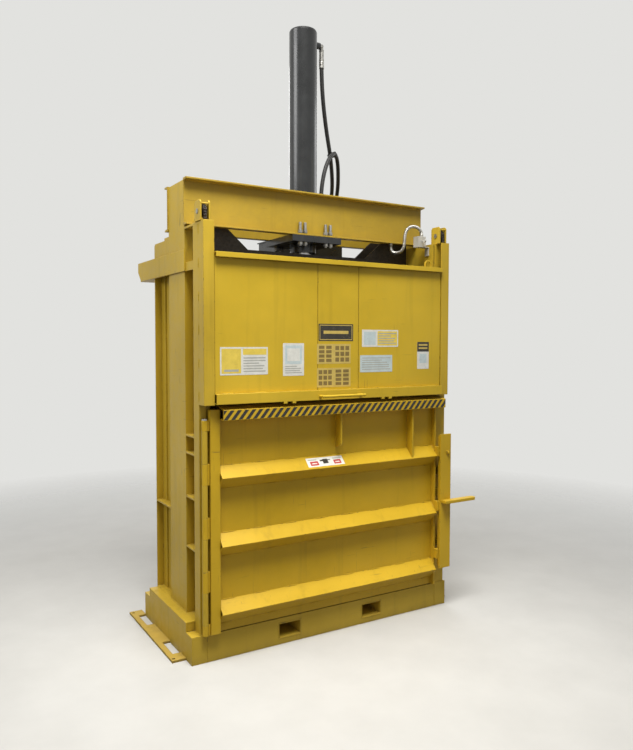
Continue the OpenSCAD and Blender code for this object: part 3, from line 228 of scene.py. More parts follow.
def enamel(name, base, wear=0.5, grime_and_shade=0.5, waves=0.0, roughness=0.42, dust=0.5):
    """Sprayed enamel on welded plate: mottled, chipped edges with a painted highlight, painted shade in the
    corners, dust near the floor.
    """
    g = Graph(name)
    tone = g.noise(1.3)
    mottle = g.noise(17, 5, 0.6)
    fine = g.noise(140, 2)
    pale = shaded(base, 1.08, 0.012)
    colour = g.mix(g.span(tone, 0.32, 0.68), shaded(base, 0.86), pale)
    colour = g.mix(g.span(mottle, 0.35, 0.7, 0, 0.18), colour, RICH_YELLOW if base[0] > YELLOW_FROM else pale)
    # Vertical runs of dirt
    runs = g.span(g.noise(1.0, 4, 0.6, g.scaled((16, 16, 0.9))), 0.56, 0.8, 0, 0.30 * grime_and_shade)
    colour = g.mix(runs, colour, DIRT_AND_SHADE)
    # Fine scuffs in two directions
    scuffs_a = g.span(g.noise(1.0, 2, 0.5, g.scaled((7, 7, 150), (0.0, 0.35, 0.0))), 0.69, 0.74)
    scuffs_b = g.span(g.noise(1.0, 2, 0.5, g.scaled((150, 30, 6), (0.0, 0.5, 0.2))), 0.70, 0.74)
    patches = g.span(g.noise(2.3, 2), 0.48, 0.66)
    scuffs = g.math("MULTIPLY", g.math("MAXIMUM", scuffs_a, scuffs_b), patches)
    colour = g.mix(g.math("MULTIPLY", scuffs, 0.35 + 0.4 * wear), colour, SCUFF)
    # Painted shade in the corners, in the colour of grime
    corner = g.math("MULTIPLY", g.corners(0.05), g.span(mottle, 0.3, 0.7, 0.35, 1.0))
    colour = g.mix(g.math("MULTIPLY", corner, 0.75 * grime_and_shade, True), colour, DIRT_AND_SHADE)
    # Dust that settles on top faces and near the floor
    top = g.span(g.height(g.normal), 0.8, 0.98, 0, 0.30)
    low = g.span(g.height(g.place), 0.0, 0.26, 0.5, 0.0)
    settled = g.math("MULTIPLY", g.math("MAXIMUM", top, low), g.span(mottle, 0.3, 0.75, 0.2, 1.0))
    colour = g.mix(g.math("MULTIPLY", settled, dust), colour, DUST)
    # Painted highlight on the edges, mixed towards the paler tone, and chips down to the steel
    soft = g.rounded(0.0045)
    edge = g.span(g.dot(soft, g.normal), 0.985, 0.9)
    colour = g.mix(g.math("MULTIPLY", edge, 0.28), colour, pale)
    chips = g.span(g.noise(38, 5, 0.7), 0.62 - 0.1 * wear, 0.66 - 0.1 * wear)
    spots = g.math("MULTIPLY", g.span(g.noise(55, 3, 0.6), 0.735, 0.76), patches)
    worn = g.math("MAXIMUM", g.math("MULTIPLY", edge, chips), g.math("MULTIPLY", spots, 0.7 * wear))
    colour = g.mix(worn, colour, STEEL)
    rough = g.math("ADD", g.span(mottle, 0.3, 0.7, roughness - 0.05, roughness + 0.09),
                   g.math("MULTIPLY", settled, 0.4), True)
    grain = g.math("ADD", g.math("MULTIPLY", g.noise(420, 2), 0.10), g.math("MULTIPLY", fine, 0.10))
    relief = g.math("SUBTRACT", grain, g.math("MULTIPLY", worn, 0.5))
    normal = g.bump(relief, 0.0006, 0.7, soft)
    if waves:
        normal = g.bump(g.noise(2.6, 1), waves, 1.0, normal)
    return g.end(colour, rough, normal, specular=0.3)


def metal(name, base, roughness, corner_shade=0.4, metallic=1.0, oily=0.0):
    """Bare or plated metal, darker in its corners with painted shade."""
    g = Graph(name)
    mottle = g.noise(60, 5, 0.65)
    colour = g.mix(g.span(mottle, 0.35, 0.68), shaded(base, 0.62), base)
    # Painted shade: corners darkened by ambient occlusion
    colour = g.mix(g.math("MULTIPLY", g.corners(0.02), corner_shade, True), colour, rgb(30, 25, 20))
    rough = g.span(g.noise(110, 4, 0.6), 0.3, 0.7, roughness - 0.06, roughness + 0.12)
    normal = g.bump(g.noise(300), 0.0004, 0.5, g.rounded(0.0015))
    return g.end(colour, rough, normal, metallic=metallic, coat=oily, coat_roughness=0.2)


def gloss_black(name):
    """Black gloss paint with pale dust on its top faces and in runs."""
    g = Graph(name)
    mottle = g.noise(9, 5, 0.6)
    colour = g.mix(g.span(mottle, 0.3, 0.7), rgb(24, 25, 26), rgb(38, 40, 41))
    top = g.span(g.height(g.normal), 0.5, 0.95, 0, 0.6)
    colour = g.mix(top, colour, rgb(112, 106, 94))
    runs = g.span(g.noise(1.0, 4, 0.6, g.scaled((26, 26, 1.2))), 0.55, 0.8, 0, 0.28)
    colour = g.mix(runs, colour, rgb(92, 88, 80))
    rough = g.math("ADD", g.span(mottle, 0.3, 0.7, 0.24, 0.36), g.math("MULTIPLY", top, 0.5), True)
    normal = g.bump(g.noise(300, 2), 0.0004, 0.35, g.rounded(0.003))
    return g.end(colour, rough, normal, coat=0.25, coat_roughness=0.12)


def rubber(name, base):
    """Hose rubber with the print of its cloth wrap."""
    g = Graph(name)
    mottle = g.noise(40, 5, 0.6)
    colour = g.mix(g.span(mottle, 0.3, 0.75), base, rgb(58, 56, 52))
    weave = g.noise(1.0, 2, 0.5, g.scaled((700, 700, 260)))
    return g.end(colour, g.span(mottle, 0.3, 0.7, 0.48, 0.7), g.bump(weave, 0.0005, 0.6))


def plastic(name, base, roughness=0.5, corner_shade=0.4):
    """Moulded plastic, handled, with a little painted shade in its corners."""
    g = Graph(name)
    mottle = g.noise(30, 5, 0.6)
    colour = g.mix(g.span(mottle, 0.3, 0.7), shaded(base, 0.8), base)
    # Painted shade: corners darkened by ambient occlusion
    colour = g.mix(g.math("MULTIPLY", g.corners(0.015), corner_shade, True), colour, rgb(84, 76, 62))
    normal = g.bump(g.noise(500, 2), 0.0003, 0.4, g.rounded(0.002))
    return g.end(colour, g.span(mottle, 0.3, 0.7, roughness - 0.05, roughness + 0.1), normal)


def film(name, base, roughness=0.35):
    """Printed film or thin plate, a little faded and scuffed."""
    g = Graph(name)
    mottle = g.noise(26, 5, 0.65)
    colour = g.mix(g.span(mottle, 0.3, 0.7), shaded(base, 0.86), shaded(base, 1.05, 0.01))
    scuffs = g.span(g.noise(1.0, 3, 0.6, g.scaled((60, 60, 240), (0, 0.6, 0))), 0.64, 0.74, 0, 0.5)
    colour = g.mix(scuffs, colour, rgb(150, 138, 108))
    return g.end(colour, g.span(mottle, 0.3, 0.7, roughness, roughness + 0.2),
                 g.bump(g.noise(240, 2), 0.0003, 0.4))


def seen_directly(tree):
    """1 for what the camera sees, also in a reflection or through glass, and 0 for the light that bounces."""
    path = tree.nodes.new("ShaderNodeLightPath")
    seen = path.outputs["Is Camera Ray"]
    for key in ("Is Glossy Ray", "Is Transmission Ray"):
        more = tree.nodes.new("ShaderNodeMath")
        more.operation = "MAXIMUM"
        tree.links.new(seen, more.inputs[0])
        tree.links.new(path.outputs[key], more.inputs[1])
        seen = more.outputs[0]
    return seen


def make_floor():
    half = FLOOR_HALF
    mesh = bpy.data.meshes.new("floor")
    mesh.from_pydata([(-half, -half, 0), (half, -half, 0), (half, half, 0), (-half, half, 0)], [],
                     [(0, 1, 2, 3)])
    floor = bpy.data.objects.new("floor", mesh)
    floor.location.z = -FLOOR_SINK
    scene.collection.objects.link(floor)
    g = Graph("floor")
    mottle = g.noise(3.0, 5, 0.6)
    colour = g.mix(g.span(mottle, 0.3, 0.7), rgb(196, 195, 191), rgb(203, 202, 198))
    # The pale floor throws back only as much light on the object as a mid-grey one
    colour = g.mix(seen_directly(g.tree), rgb(112, 108, 100), colour)
    g.end(colour, 0.6)
    far = g.add("ShaderNodeVectorMath", operation="LENGTH")
    g.link(g.place, far.inputs[0])
    fade = g.span(far.outputs["Value"], FADE_FROM, FADE_TO)
    clear = g.add("ShaderNodeBsdfTransparent")
    both = g.add("ShaderNodeMixShader")
    g.link(fade, both.inputs[0])
    g.link(g.shader.outputs[0], both.inputs[1])
    g.link(clear.outputs[0], both.inputs[2])
    g.link(both.outputs[0], g.out.inputs[0])
    floor.data.materials.append(g.material)


def make_world():
    """A soft fill for the object, with a plain pale background where the camera looks."""
    world = bpy.data.worlds.new("world")
    scene.world = world
    world.use_nodes = True
    tree = world.node_tree
    tree.nodes.clear()
    out = tree.nodes.new("ShaderNodeOutputWorld")
    back = tree.nodes.new("ShaderNodeBackground")
    fill = tree.nodes.new("ShaderNodeBackground")
    both = tree.nodes.new("ShaderNodeMixShader")
    fill.inputs["Color"].default_value = FILL_TINT
    fill.inputs["Strength"].default_value = FILL_STRENGTH
    back.inputs["Color"].default_value = rgb(226, 226, 223)
    back.inputs["Strength"].default_value = 1
    tree.links.new(seen_directly(tree), both.inputs[0])
    tree.links.new(fill.outputs[0], both.inputs[1])
    tree.links.new(back.outputs[0], both.inputs[2])
    tree.links.new(both.outputs[0], out.inputs[0])


def lamp(name, place, aim, size, watts, tint=(1, 1, 1), spread=180):
    """A soft box at place that points at aim; spread is in degrees."""
    data = bpy.data.lights.new(name, "AREA")
    data.shape = "RECTANGLE"
    data.size, data.size_y = size
    data.energy = watts
    data.color = tint
    data.spread = math.radians(spread)
    obj = bpy.data.objects.new(name, data)
    obj.location = place
    obj.rotation_euler = (Vector(aim) - Vector(place)).to_track_quat("-Z", "Y").to_euler()
    scene.collection.objects.link(obj)


def make_stage():
    make_floor()
    make_world()
    lamp("overhead", (-0.8, -2.0, 5.4), (-0.35, -0.8, 0.0), (2.2, 1.6), 76, (1, 0.985, 0.955), 80)
    lamp("left", (-4.2, 0.3, 4.6), (-0.7, 0.1, 2.2), (2.0, 2.0), 80)
    lamp("rear", (1.8, 4.6, 4.0), (0, 0.2, 1.6), (3.0, 2.5), 90)
    lamp("right", (5.2, 0.4, 3.6), (0.5, 0.0, 1.4), (2.5, 2.5), 40)


# Mesh helpers

# Depth of the frame's origin behind the front plane of the base, in mm
ORIGIN_DEPTH = 480

UP = (0, 0, 1)
BACK = (0, 1, 0)
FRONT = (0, -1, 0)
LEFT = (-1, 0, 0)


def at(x, y, z):
    """A point from X, depth behind the front plane and height, all in mm."""
    return Vector((x / 1000, (y - ORIGIN_DEPTH) / 1000, z / 1000))


def make(name, bm, body, materials, bevel=0.0, smooth=40):
    """Makes bm a piece that rides on body. Bevel is in metres, and edges over smooth degrees stay sharp."""
    if bevel:
        sharp = [e for e in bm.edges if len(e.link_faces) == 2 and e.calc_face_angle(0) > math.radians(30)]
        bmesh.ops.bevel(bm, geom=sharp, offset=bevel, segments=2, affect="EDGES", clamp_overlap=True)
    mesh = bpy.data.meshes.new(name)
    bm.to_mesh(mesh)
    bm.free()
    for m in materials if isinstance(materials, list) else [materials]:
        mesh.materials.append(m)
    mesh.shade_smooth()
    mesh.set_sharp_from_angle(angle=math.radians(smooth))
    obj = bpy.data.objects.new(name, mesh)
    scene.collection.objects.link(obj)
    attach(obj, body)
    return obj


def add_box(bm, lo, hi):
    made = bmesh.ops.create_cube(bm, size=1)
    for v in made["verts"]:
        v.co = Vector([lo[i] + (v.co[i] + 0.5) * (hi[i] - lo[i]) for i in range(3)])


def turns(count):
    """Angles of an even division of a full turn."""
    return [2 * math.pi * k / count for k in range(count)]


def add_ring(bm, centre, side, other, radius, sides):
    return [bm.verts.new(centre + (side * math.cos(a) + other * math.sin(a)) * radius) for a in turns(sides)]


def add_lathe(bm, start, axis, profile, sides, index=0):
    """A turned form: profile holds (distance along the axis, radius)."""
    axis = Vector(axis).normalized()
    side = axis.orthogonal().normalized()
    other = axis.cross(side)
    rings = []
    for t, r in profile:
        centre = Vector(start) + axis * t
        rings.append(add_ring(bm, centre, side, other, r, sides) if r else [bm.verts.new(centre)])
    for a, b in zip(rings, rings[1:]):
        for k in range(sides):
            j = (k + 1) % sides
            if len(a) == 1:
                f = bm.faces.new((a[0], b[k], b[j]))
            elif len(b) == 1:
                f = bm.faces.new((a[j], a[k], b[0]))
            else:
                f = bm.faces.new((a[j], a[k], b[k], b[j]))
            f.material_index = index


def disc(radius, height):
    """Profile of a flat disc for add_lathe."""
    return [(0, 0), (0, radius), (height, radius), (height, 0)]


def add_hex(bm, start, axis, across, height):
    """A hexagon head with a chamfered crown."""
    r = across / math.sqrt(3)
    add_lathe(bm, start, axis, [(0, 0), (0, r), (height * 0.82, r), (height, r * 0.86), (height, 0)], 6)


def add_tube(bm, points, radius, sides):
    """A round tube along points; radius may be a number or a list with one number a point."""
    count = len(points)
    tangents = [(points[min(i + 1, count - 1)] - points[max(i - 1, 0)]).normalized() for i in range(count)]
    side = tangents[0].orthogonal().normalized()
    rings = []
    for i, (centre, along) in enumerate(zip(points, tangents)):
        side = (side - along * side.dot(along)).normalized()
        r = radius[i] if isinstance(radius, list) else radius
        rings.append(add_ring(bm, centre, side, along.cross(side), r, sides))
    for a, b in zip(rings, rings[1:]):
        for k in range(sides):
            j = (k + 1) % sides
            bm.faces.new((a[k], a[j], b[j], b[k]))
    bm.faces.new(list(reversed(rings[0])))
    bm.faces.new(rings[-1])


def curve_through(points, step):
    """Points a step apart on a smooth curve through the given points."""
    parts = 24
    dense = []
    for i in range(len(points) - 1):
        p0 = points[i - 1] if i else points[0] * 2 - points[1]
        p3 = points[i + 2] if i + 2 < len(points) else points[-1] * 2 - points[-2]
        p1, p2 = points[i], points[i + 1]
        for k in range(parts):
            t = k / parts
            dense.append(0.5 * (2 * p1 + (p2 - p0) * t + (2 * p0 - 5 * p1 + 4 * p2 - p3) * t * t
                                + (3 * p1 - p0 - 3 * p2 + p3) * t ** 3))
    dense.append(points[-1])
    out, left = [dense[0]], step
    for a, b in zip(dense, dense[1:]):
        seg = (b - a).length
        while seg >= left and seg > 0:
            a = a + (b - a) * (left / seg)
            seg -= left
            out.append(a)
            left = step
        left -= seg
    if (out[-1] - dense[-1]).length > step * 0.4:
        out.append(dense[-1])
    return out


# Finishes of the CAD nodes

GATE = enamel("gate_enamel", rgb(206, 173, 40), 0.35, 0.45, waves=0.012)
DOOR = enamel("door_enamel", rgb(208, 170, 30), 0.55, 0.7, waves=0.008)
FRAME = enamel("frame_enamel", rgb(200, 168, 46), 0.45, 0.8)
BARS = enamel("bar_enamel", rgb(198, 166, 48), 0.5, 0.9)
# A darker copy of the yellow enamel: painted shade on the crosshead beams
SHADED_BEAM = enamel("beam_enamel_shaded", rgb(178, 149, 48), 0.3, 0.5)
FOOT = enamel("foot_enamel", rgb(190, 158, 60), 1.0, 0.9, roughness=0.6, dust=0.9)
BLACK = gloss_black("black_gloss")
TANK = gloss_black("tank_black")
DARK = metal("dark_steel", rgb(70, 64, 56), 0.5, 0.6, 0.7)
CHAIN = metal("chain_steel", rgb(96, 88, 78), 0.38, 0.7, 0.9, 0.3)
ZINC = metal("zinc_plate", rgb(186, 184, 178), 0.38, 0.5)
CHROME = metal("hard_chrome", rgb(224, 225, 228), 0.14, 0.2)
RUBBER = rubber("hose_rubber", rgb(24, 24, 25))
STRAP = rubber("strap_rubber", rgb(34, 34, 36))
GREY = enamel("grey_enamel", rgb(128, 134, 138), 0.3, 0.5)
SWITCH = plastic("switch_plastic", rgb(206, 204, 196))
SHOE = plastic("shoe_plastic", rgb(210, 206, 192), 0.6, 0.7)
GLASS = plastic("level_glass", rgb(196, 176, 104), 0.2, 0.2)
CONDUIT = metal("conduit_metal", rgb(196, 194, 188), 0.36, 0.5)
INK = film("stripe_black", rgb(30, 28, 24), 0.4)

FINISHES = (
    (GATE, "gate_sheets gate_frame gate_handle"),
    (DOOR, "door_skin door_stiles door_ribs door_gussets door_sill door_hinge_knuckles latch_brackets"
           " latch_bar latch_handle"),
    (FRAME, "base_beams base_feet base_side_rails fork_tubes chamber_floor front_posts side_wall_left"
            " side_wall_right columns back_wall back_frame shelf_arms gate_guides chain_housings"
            " hinge_knuckles_post latch_staples unit_shelf counterweight_left counterweight_right"),
    (BARS, "side_stiffeners"),
    (SHADED_BEAM, "crosshead_front crosshead_rear"),
    (FOOT, "anchor_flanges"),
    (BLACK, "cylinder_barrel cylinder_gland cylinder_mount_plate"),
    (TANK, "oil_tank"),
    (DARK, "platen sheave_left sheave_right"),
    (CHAIN, "chain_front_left chain_front_right chain_rear_left chain_rear_right chain_wraps"),
    (ZINC, "mount_studs port_elbows sheave_axles hinge_rod valve_block"),
    (CHROME, "piston_rod"),
    (RUBBER, "hose_cap_end hose_rod_end"),
    (GREY, "pump_motor starter_box"),
    (SWITCH, "interlock_switch"),
    (SHOE, "gate_shoes"),
    (CONDUIT, "switch_conduit"),
)


def finish_nodes():
    for material, names in FINISHES:
        for name in names.split():
            mesh = NODES[name].data
            mesh.materials.clear()
            mesh.materials.append(material)
            for polygon in mesh.polygons:
                polygon.material_index = 0


# Hazard stripes on the feed sill

SILL_X = (-722.0, 797.0)
SILL_Z = (1303.0, 1352.0)
SILL_FACE = -78.35
STRIPE_COUNT = 36
# Share of the pitch that is black, and how far a stripe leans over its height
STRIPE_SHARE = 0.52
STRIPE_LEAN = 40.0
STRIPE_PROUD = 0.25
STRIPE_SUNK = 0.3


def clip_x(poly, x0, x1):
    """The part of a convex outline between two X."""
    for bound, keep in ((x0, lambda x: x >= x0), (x1, lambda x: x <= x1)):
        out = []
        for i, (x, z) in enumerate(poly):
            px, pz = poly[i - 1]
            if keep(x) != keep(px):
                t = (bound - px) / (x - px)
                out.append((bound, pz + (z - pz) * t))
            if keep(x):
                out.append((x, z))
        poly = out
        if not poly:
            break
    return poly


def stripes():
    (x0, x1), (z0, z1) = SILL_X, SILL_Z
    pitch = (x1 - x0) / STRIPE_COUNT
    bm = bmesh.new()
    # The stripes that start left of the sill lean in over it
    for k in range(-2, STRIPE_COUNT + 1):
        left = x0 + k * pitch
        right = x0 + k * pitch + pitch * STRIPE_SHARE
        corners = [(left, z0), (right, z0), (right + STRIPE_LEAN, z1), (left + STRIPE_LEAN, z1)]
        poly = clip_x(corners, x0, x1)
        if len(poly) < 3:
            continue
        front = [bm.verts.new(at(x, SILL_FACE - STRIPE_PROUD, z)) for x, z in poly]
        back = [bm.verts.new(at(x, SILL_FACE + STRIPE_SUNK, z)) for x, z in poly]
        bm.faces.new(front)
        for i in range(len(poly)):
            j = (i + 1) % len(poly)
            bm.faces.new((front[j], front[i], back[i], back[j]))
    make("sill_stripes", bm, "door", INK, smooth=20)


# Plates with plain colour fields. A field is left, right, bottom and top in shares of its plate, and a film

FILM_COLOURS = {
    "white": (226, 226, 218), "yellow": (232, 205, 84), "grey": (176, 176, 168), "black": (40, 36, 24),
    "red": (186, 52, 44), "blue": (198, 212, 212), "pale": (206, 180, 92), "olive": (128, 106, 50)}
FILMS = [film(f"plate_{name}", rgb(*colour)) for name, colour in FILM_COLOURS.items()]
FILM_NUMBER = {name: k for k, name in enumerate(FILM_COLOURS)}

GATE_FACE = -60.0
PLATE_CORNER = 3.0
FIELD_CORNER = 1.5
CORNER_PARTS = 4
# How far plates and their fields stand proud of the face, and how much each next field adds
PLATE_PROUD = 0.6
FIELD_PROUD = 0.7
LAYER = 0.03


def rounded_outline(x0, x1, z0, z1, r):
    points = []
    left, right, low, high = x0 + r, x1 - r, z0 + r, z1 - r
    for cx, cz, start in ((right, high, 0), (left, high, 90), (left, low, 180), (right, low, 270)):
        for k in range(CORNER_PARTS + 1):
            a = math.radians(start + 90 / CORNER_PARTS * k)
            points.append((cx + r * math.cos(a), cz + r * math.sin(a)))
    return points


def add_slab(bm, points, front, back, index):
    """A thin plate between two depths, without its hidden back."""
    f = [bm.verts.new(at(x, front, z)) for x, z in points]
    b = [bm.verts.new(at(x, back, z)) for x, z in points]
    bm.faces.new(list(reversed(f))).material_index = index
    for i in range(len(points)):
        j = (i + 1) % len(points)
        bm.faces.new((f[i], f[j], b[j], b[i])).material_index = index


def gate_plate(name, x0, x1, z0, z1, base, fields):
    bm = bmesh.new()
    add_slab(bm, rounded_outline(x0, x1, z0, z1, PLATE_CORNER), GATE_FACE - PLATE_PROUD, GATE_FACE + 0.2,
             FILM_NUMBER[base])
    for layer, (u0, u1, v0, v1, colour) in enumerate(fields):
        a0, a1 = x0 + (x1 - x0) * u0, x0 + (x1 - x0) * u1
        b0, b1 = z0 + (z1 - z0) * v0, z0 + (z1 - z0) * v1
        corner = min(FIELD_CORNER, (b1 - b0) * 0.3, (a1 - a0) * 0.3)
        add_slab(bm, rounded_outline(a0, a1, b0, b1, corner), GATE_FACE - FIELD_PROUD - LAYER * layer,
                 GATE_FACE - 0.5, FILM_NUMBER[colour])
    make(name, bm, "gate", FILMS, smooth=20)


def lines(u0, u1, v0, v1, count, colour="grey", ragged=7):
    """Even bars, as a block of print looks from far off."""
    dice = random.Random(ragged)
    out = []
    pitch = (v1 - v0) / count
    for k in range(count):
        end = u1 - (u1 - u0) * dice.choice((0, 0.05, 0.12, 0.3)) if k else u1
        out.append((u0, end, v0 + pitch * (k + 0.3), v0 + pitch * (k + 0.72), colour))
    return out


def squares(u0, u1, across, down):
    """Rows of small squares over nearly the whole height of a plate."""
    v0, v1 = 0.06, 0.94
    out = []
    du, dv = (u1 - u0) / across, (v1 - v0) / down
    for i in range(across):
        for j in range(down):
            out.append((u0 + du * (i + 0.12), u0 + du * (i + 0.88),
                        v0 + dv * (j + 0.14), v0 + dv * (j + 0.86), "olive"))
    return out


def gate_plates():
    left_edge, right_edge = (0.03, 0.45), (0.52, 0.97)
    for name, x0, x1, z0, z1, base, fields in (
        ("gate_plate_a", -734, -455, 1536, 1684, "white",
         [(0.03, 0.43, 0.06, 0.94, "yellow"), (0.08, 0.38, 0.12, 0.2, "grey"),
          (0.47, 0.97, 0.72, 0.94, "yellow")]
         + lines(0.48, 0.95, 0.08, 0.66, 6)),
        ("gate_plate_b", -362, -229, 1525, 1705, "white",
         [(0.1, 0.9, 0.36, 0.93, "blue"), (0.2, 0.8, 0.45, 0.84, "white")]
         + lines(0.1, 0.9, 0.06, 0.32, 4)),
        ("gate_plate_c", -134, 101, 1718, 1815, "black",
         [(0.03, 0.97, 0.06, 0.94, "pale"), (0.045, 0.955, 0.1, 0.9, "black"),
          (0.14, 0.86, 0.42, 0.6, "pale")]),
        ("gate_plate_d", -144, 84, 1588, 1701, "pale",
         squares(*left_edge, 2, 4) + squares(*right_edge, 3, 3)),
        ("gate_plate_e", -144, 84, 1455, 1564, "pale",
         squares(*left_edge, 3, 3) + squares(*right_edge, 2, 4)),
        ("gate_plate_f", 164, 430, 1684, 1785, "white",
         [(0.42, 0.97, 0.08, 0.92, "yellow"), (0.05, 0.37, 0.12, 0.88, "blue")]
         + lines(0.45, 0.94, 0.14, 0.86, 5)),
        ("gate_plate_g", 151, 386, 1535, 1635, "blue", lines(0.06, 0.94, 0.1, 0.9, 6, ragged=3)),
        ("gate_plate_h", 579, 671, 1547, 1714, "white",
         [(0.0, 1.0, 0.64, 1.0, "black"), (0.12, 0.88, 0.74, 0.8, "pale"), (0.12, 0.88, 0.86, 0.92, "pale"),
          (0.2, 0.8, 0.22, 0.56, "blue")]),
    ):
        gate_plate(name, x0, x1, z0, z1, base, fields)


# Hoses and conduit: the routes of part.scad, and sizes in metres

CAP_ROUTE = [
    (131.5, 349, 3465), (134, 350, 3380), (141, 354, 3290), (156, 364, 3200), (180, 382, 3112),
    (212, 408, 3026), (250, 440, 2944), (288, 480, 2868), (322, 522, 2798), (350, 566, 2736),
    (372, 612, 2690), (386, 664, 2676), (390, 724, 2664), (390, 777, 2656), (390, 817, 2648),
    (390, 851, 2626), (390, 873, 2592), (390, 881, 2552)]
ROD_ROUTE = [
    (131.5, 349, 2500), (131, 349, 2560), (133, 350, 2640), (144, 352, 2720), (166, 359, 2796),
    (198, 372, 2860), (236, 393, 2904), (276, 421, 2922), (316, 456, 2910), (352, 498, 2870),
    (384, 544, 2814), (412, 592, 2756), (434, 642, 2706), (444, 690, 2684), (450, 740, 2670),
    (450, 784, 2660), (450, 817, 2648), (450, 851, 2626), (450, 873, 2592), (450, 881, 2552)]
CONDUIT_ROUTE = [
    (712, 70, 2388.3), (712, 70, 2402), (706, 69, 2418), (688, 67, 2433), (662, 66, 2442),
    (636, 66, 2442), (612, 66, 2434), (592, 66, 2418), (580, 66, 2396), (574, 66, 2368),
    (572, 67, 2336), (571, 73, 2308), (569, 92, 2288), (567, 118, 2280), (566, 146, 2280),
    (565, 172, 2286), (565, 190, 2302), (565, 197, 2324), (565, 197, 2345)]

HOSE_RADIUS = 0.013
HOSE_STEP = 0.012
FERRULE_RADIUS = 0.0165
FERRULE_LENGTH = 0.054
CRIMP_COUNT = 4
CRIMP_START = 0.006
CRIMP_PITCH = 0.011
# One crimp: distances along the ferrule, and its radius there
CRIMP = ((0, 0.0168), (0.0015, 0.0158), (0.008, 0.0158), (0.0095, 0.0168))

CONDUIT_STEP = 0.002
CONDUIT_RIDGE = 0.0104
CONDUIT_GROOVE = 0.0082
CONDUIT_NUT = [(0, 0), (0, 0.0125), (0.012, 0.0125), (0.013, 0.0115), (0.02, 0.0115), (0.022, 0.009)]


def ends_of(points, reach):
    """Both ends of a route, each with its direction into the route."""
    return [(end, (inner - end).normalized())
            for end, inner in ((points[0], points[reach]), (points[-1], points[-1 - reach]))]


def hose(name, route, node):
    bm = bmesh.new()
    points = curve_through([at(*p) for p in route], HOSE_STEP)
    add_tube(bm, points, HOSE_RADIUS, 20)
    # Crimped ferrules at both ends
    profile = [(0, HOSE_RADIUS), (0, FERRULE_RADIUS)]
    for k in range(CRIMP_COUNT):
        start = CRIMP_START + k * CRIMP_PITCH
        profile += [(start + t, r) for t, r in CRIMP]
    profile += [(FERRULE_LENGTH, FERRULE_RADIUS), (FERRULE_LENGTH, HOSE_RADIUS)]
    for end, way in ends_of(points, 3):
        add_lathe(bm, end, way, profile, 24, 1)
    obj = make(name, bm, "frame", [RUBBER, ZINC], smooth=35)
    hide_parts(node)


def conduit():
    bm = bmesh.new()
    points = curve_through([at(*p) for p in CONDUIT_ROUTE], CONDUIT_STEP)
    add_tube(bm, points, [CONDUIT_RIDGE if k % 3 else CONDUIT_GROOVE for k in range(len(points))], 14)
    for end, way in ends_of(points, 5):
        add_lathe(bm, end, way, CONDUIT_NUT, 12, 1)
    obj = make("ribbed_conduit", bm, "frame", [CONDUIT, ZINC], smooth=60)
    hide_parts("switch_conduit")


# Straight legs of the lifting chains


def chain_legs():
    """Copies of the straight chain legs: the front ones ride on the frame, and the rear ones stay where they
    are.
    """
    for side in ("left", "right"):
        for place in ("front", "rear"):
            node = f"chain_{place}_{side}"
            mesh = NODES[node].data.copy()
            obj = bpy.data.objects.new(f"{place}_chain_{side}", mesh)
            scene.collection.objects.link(obj)
            if place == "front":
                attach(obj, "frame")
                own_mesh(obj)
            else:
                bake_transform(obj)
            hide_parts(node)


# Door ribs

# Heights of the angle ribs' ridges, and how far the edges lie from them, in height and in depth
DOOR_RIBS = (262, 627, 992)
RIB_REACH = 62.9

STICKER_X = (-191, 54)
# From and to, up the slope from the ridge
STICKER_S = (14, 76)
STICKER_PROUD = 0.5
STICKER_FIELDS = [
    (0.08, 0.30, 0.14, 0.60, "red"), (0.72, 0.92, 0.14, 0.60, "red"), (0.04, 0.28, 0.72, 0.84, "grey"),
    (0.72, 0.96, 0.72, 0.84, "grey"), (0.43, 0.57, 0.28, 0.78, "black"), (0.36, 0.43, 0.55, 0.72, "black"),
    (0.46, 0.64, 0.62, 0.70, "black"), (0.12, 0.26, 0.30, 0.42, "white"), (0.76, 0.88, 0.30, 0.42, "white")]


def rib_sticker():
    """A sticker on the sloping upper face of the top rib."""
    (x0, x1), (s0, s1) = STICKER_X, STICKER_S
    half_root = 0.5 ** 0.5
    along = Vector((0, half_root, half_root))
    out = Vector((0, -half_root, half_root))
    bm = bmesh.new()

    def spot(x, s, lift):
        return at(x, -RIB_REACH, DOOR_RIBS[-1]) + (along * s + out * lift) / 1000

    def slab(a0, a1, b0, b1, lift, colour):
        ring = [(a0, b0), (a1, b0), (a1, b1), (a0, b1)]
        top = [bm.verts.new(spot(x, s, lift)) for x, s in ring]
        low = [bm.verts.new(spot(x, s, -0.3)) for x, s in ring]
        index = FILM_NUMBER[colour]
        bm.faces.new(top).material_index = index
        for i in range(4):
            j = (i + 1) % 4
            bm.faces.new((top[j], top[i], low[i], low[j])).material_index = index

    slab(x0, x1, s0, s1, STICKER_PROUD, "white")
    for layer, (u0, u1, v0, v1, colour) in enumerate(STICKER_FIELDS):
        slab(x0 + (x1 - x0) * u0, x0 + (x1 - x0) * u1, s0 + (s1 - s0) * v0, s0 + (s1 - s0) * v1,
             STICKER_PROUD + 0.1 + LAYER * layer, colour)
    make("rib_sticker", bm, "door", FILMS, smooth=20)


# Weld beads. Places are X, depth and height, and radii are in mm

TINY_BEAD = 2.4
SMALL_BEAD = 2.6
BEAD = 3.2
POST_BEAD = 3.4
LARGE_BEAD = 3.6
# In metres
RIPPLE_LENGTH = 0.005

DOOR_SKIN = -1
DOOR_LEFT, DOOR_RIGHT = -722, 748
# Beads at a rib's ends start this far above or below the ridge, and run from the first depth to the second
RIB_FOLD = 31
RIB_FOLD_Y, RIB_SKIN_Y = -33, -2
# Gussets: X of the left face and height of the foot
GUSSETS = ((20, 1116), (548, 1055))
GUSSET_W = 12
GUSSET_TOP = 1294
SILL_UNDER = 1299
SILL_Y = (-52, -4)

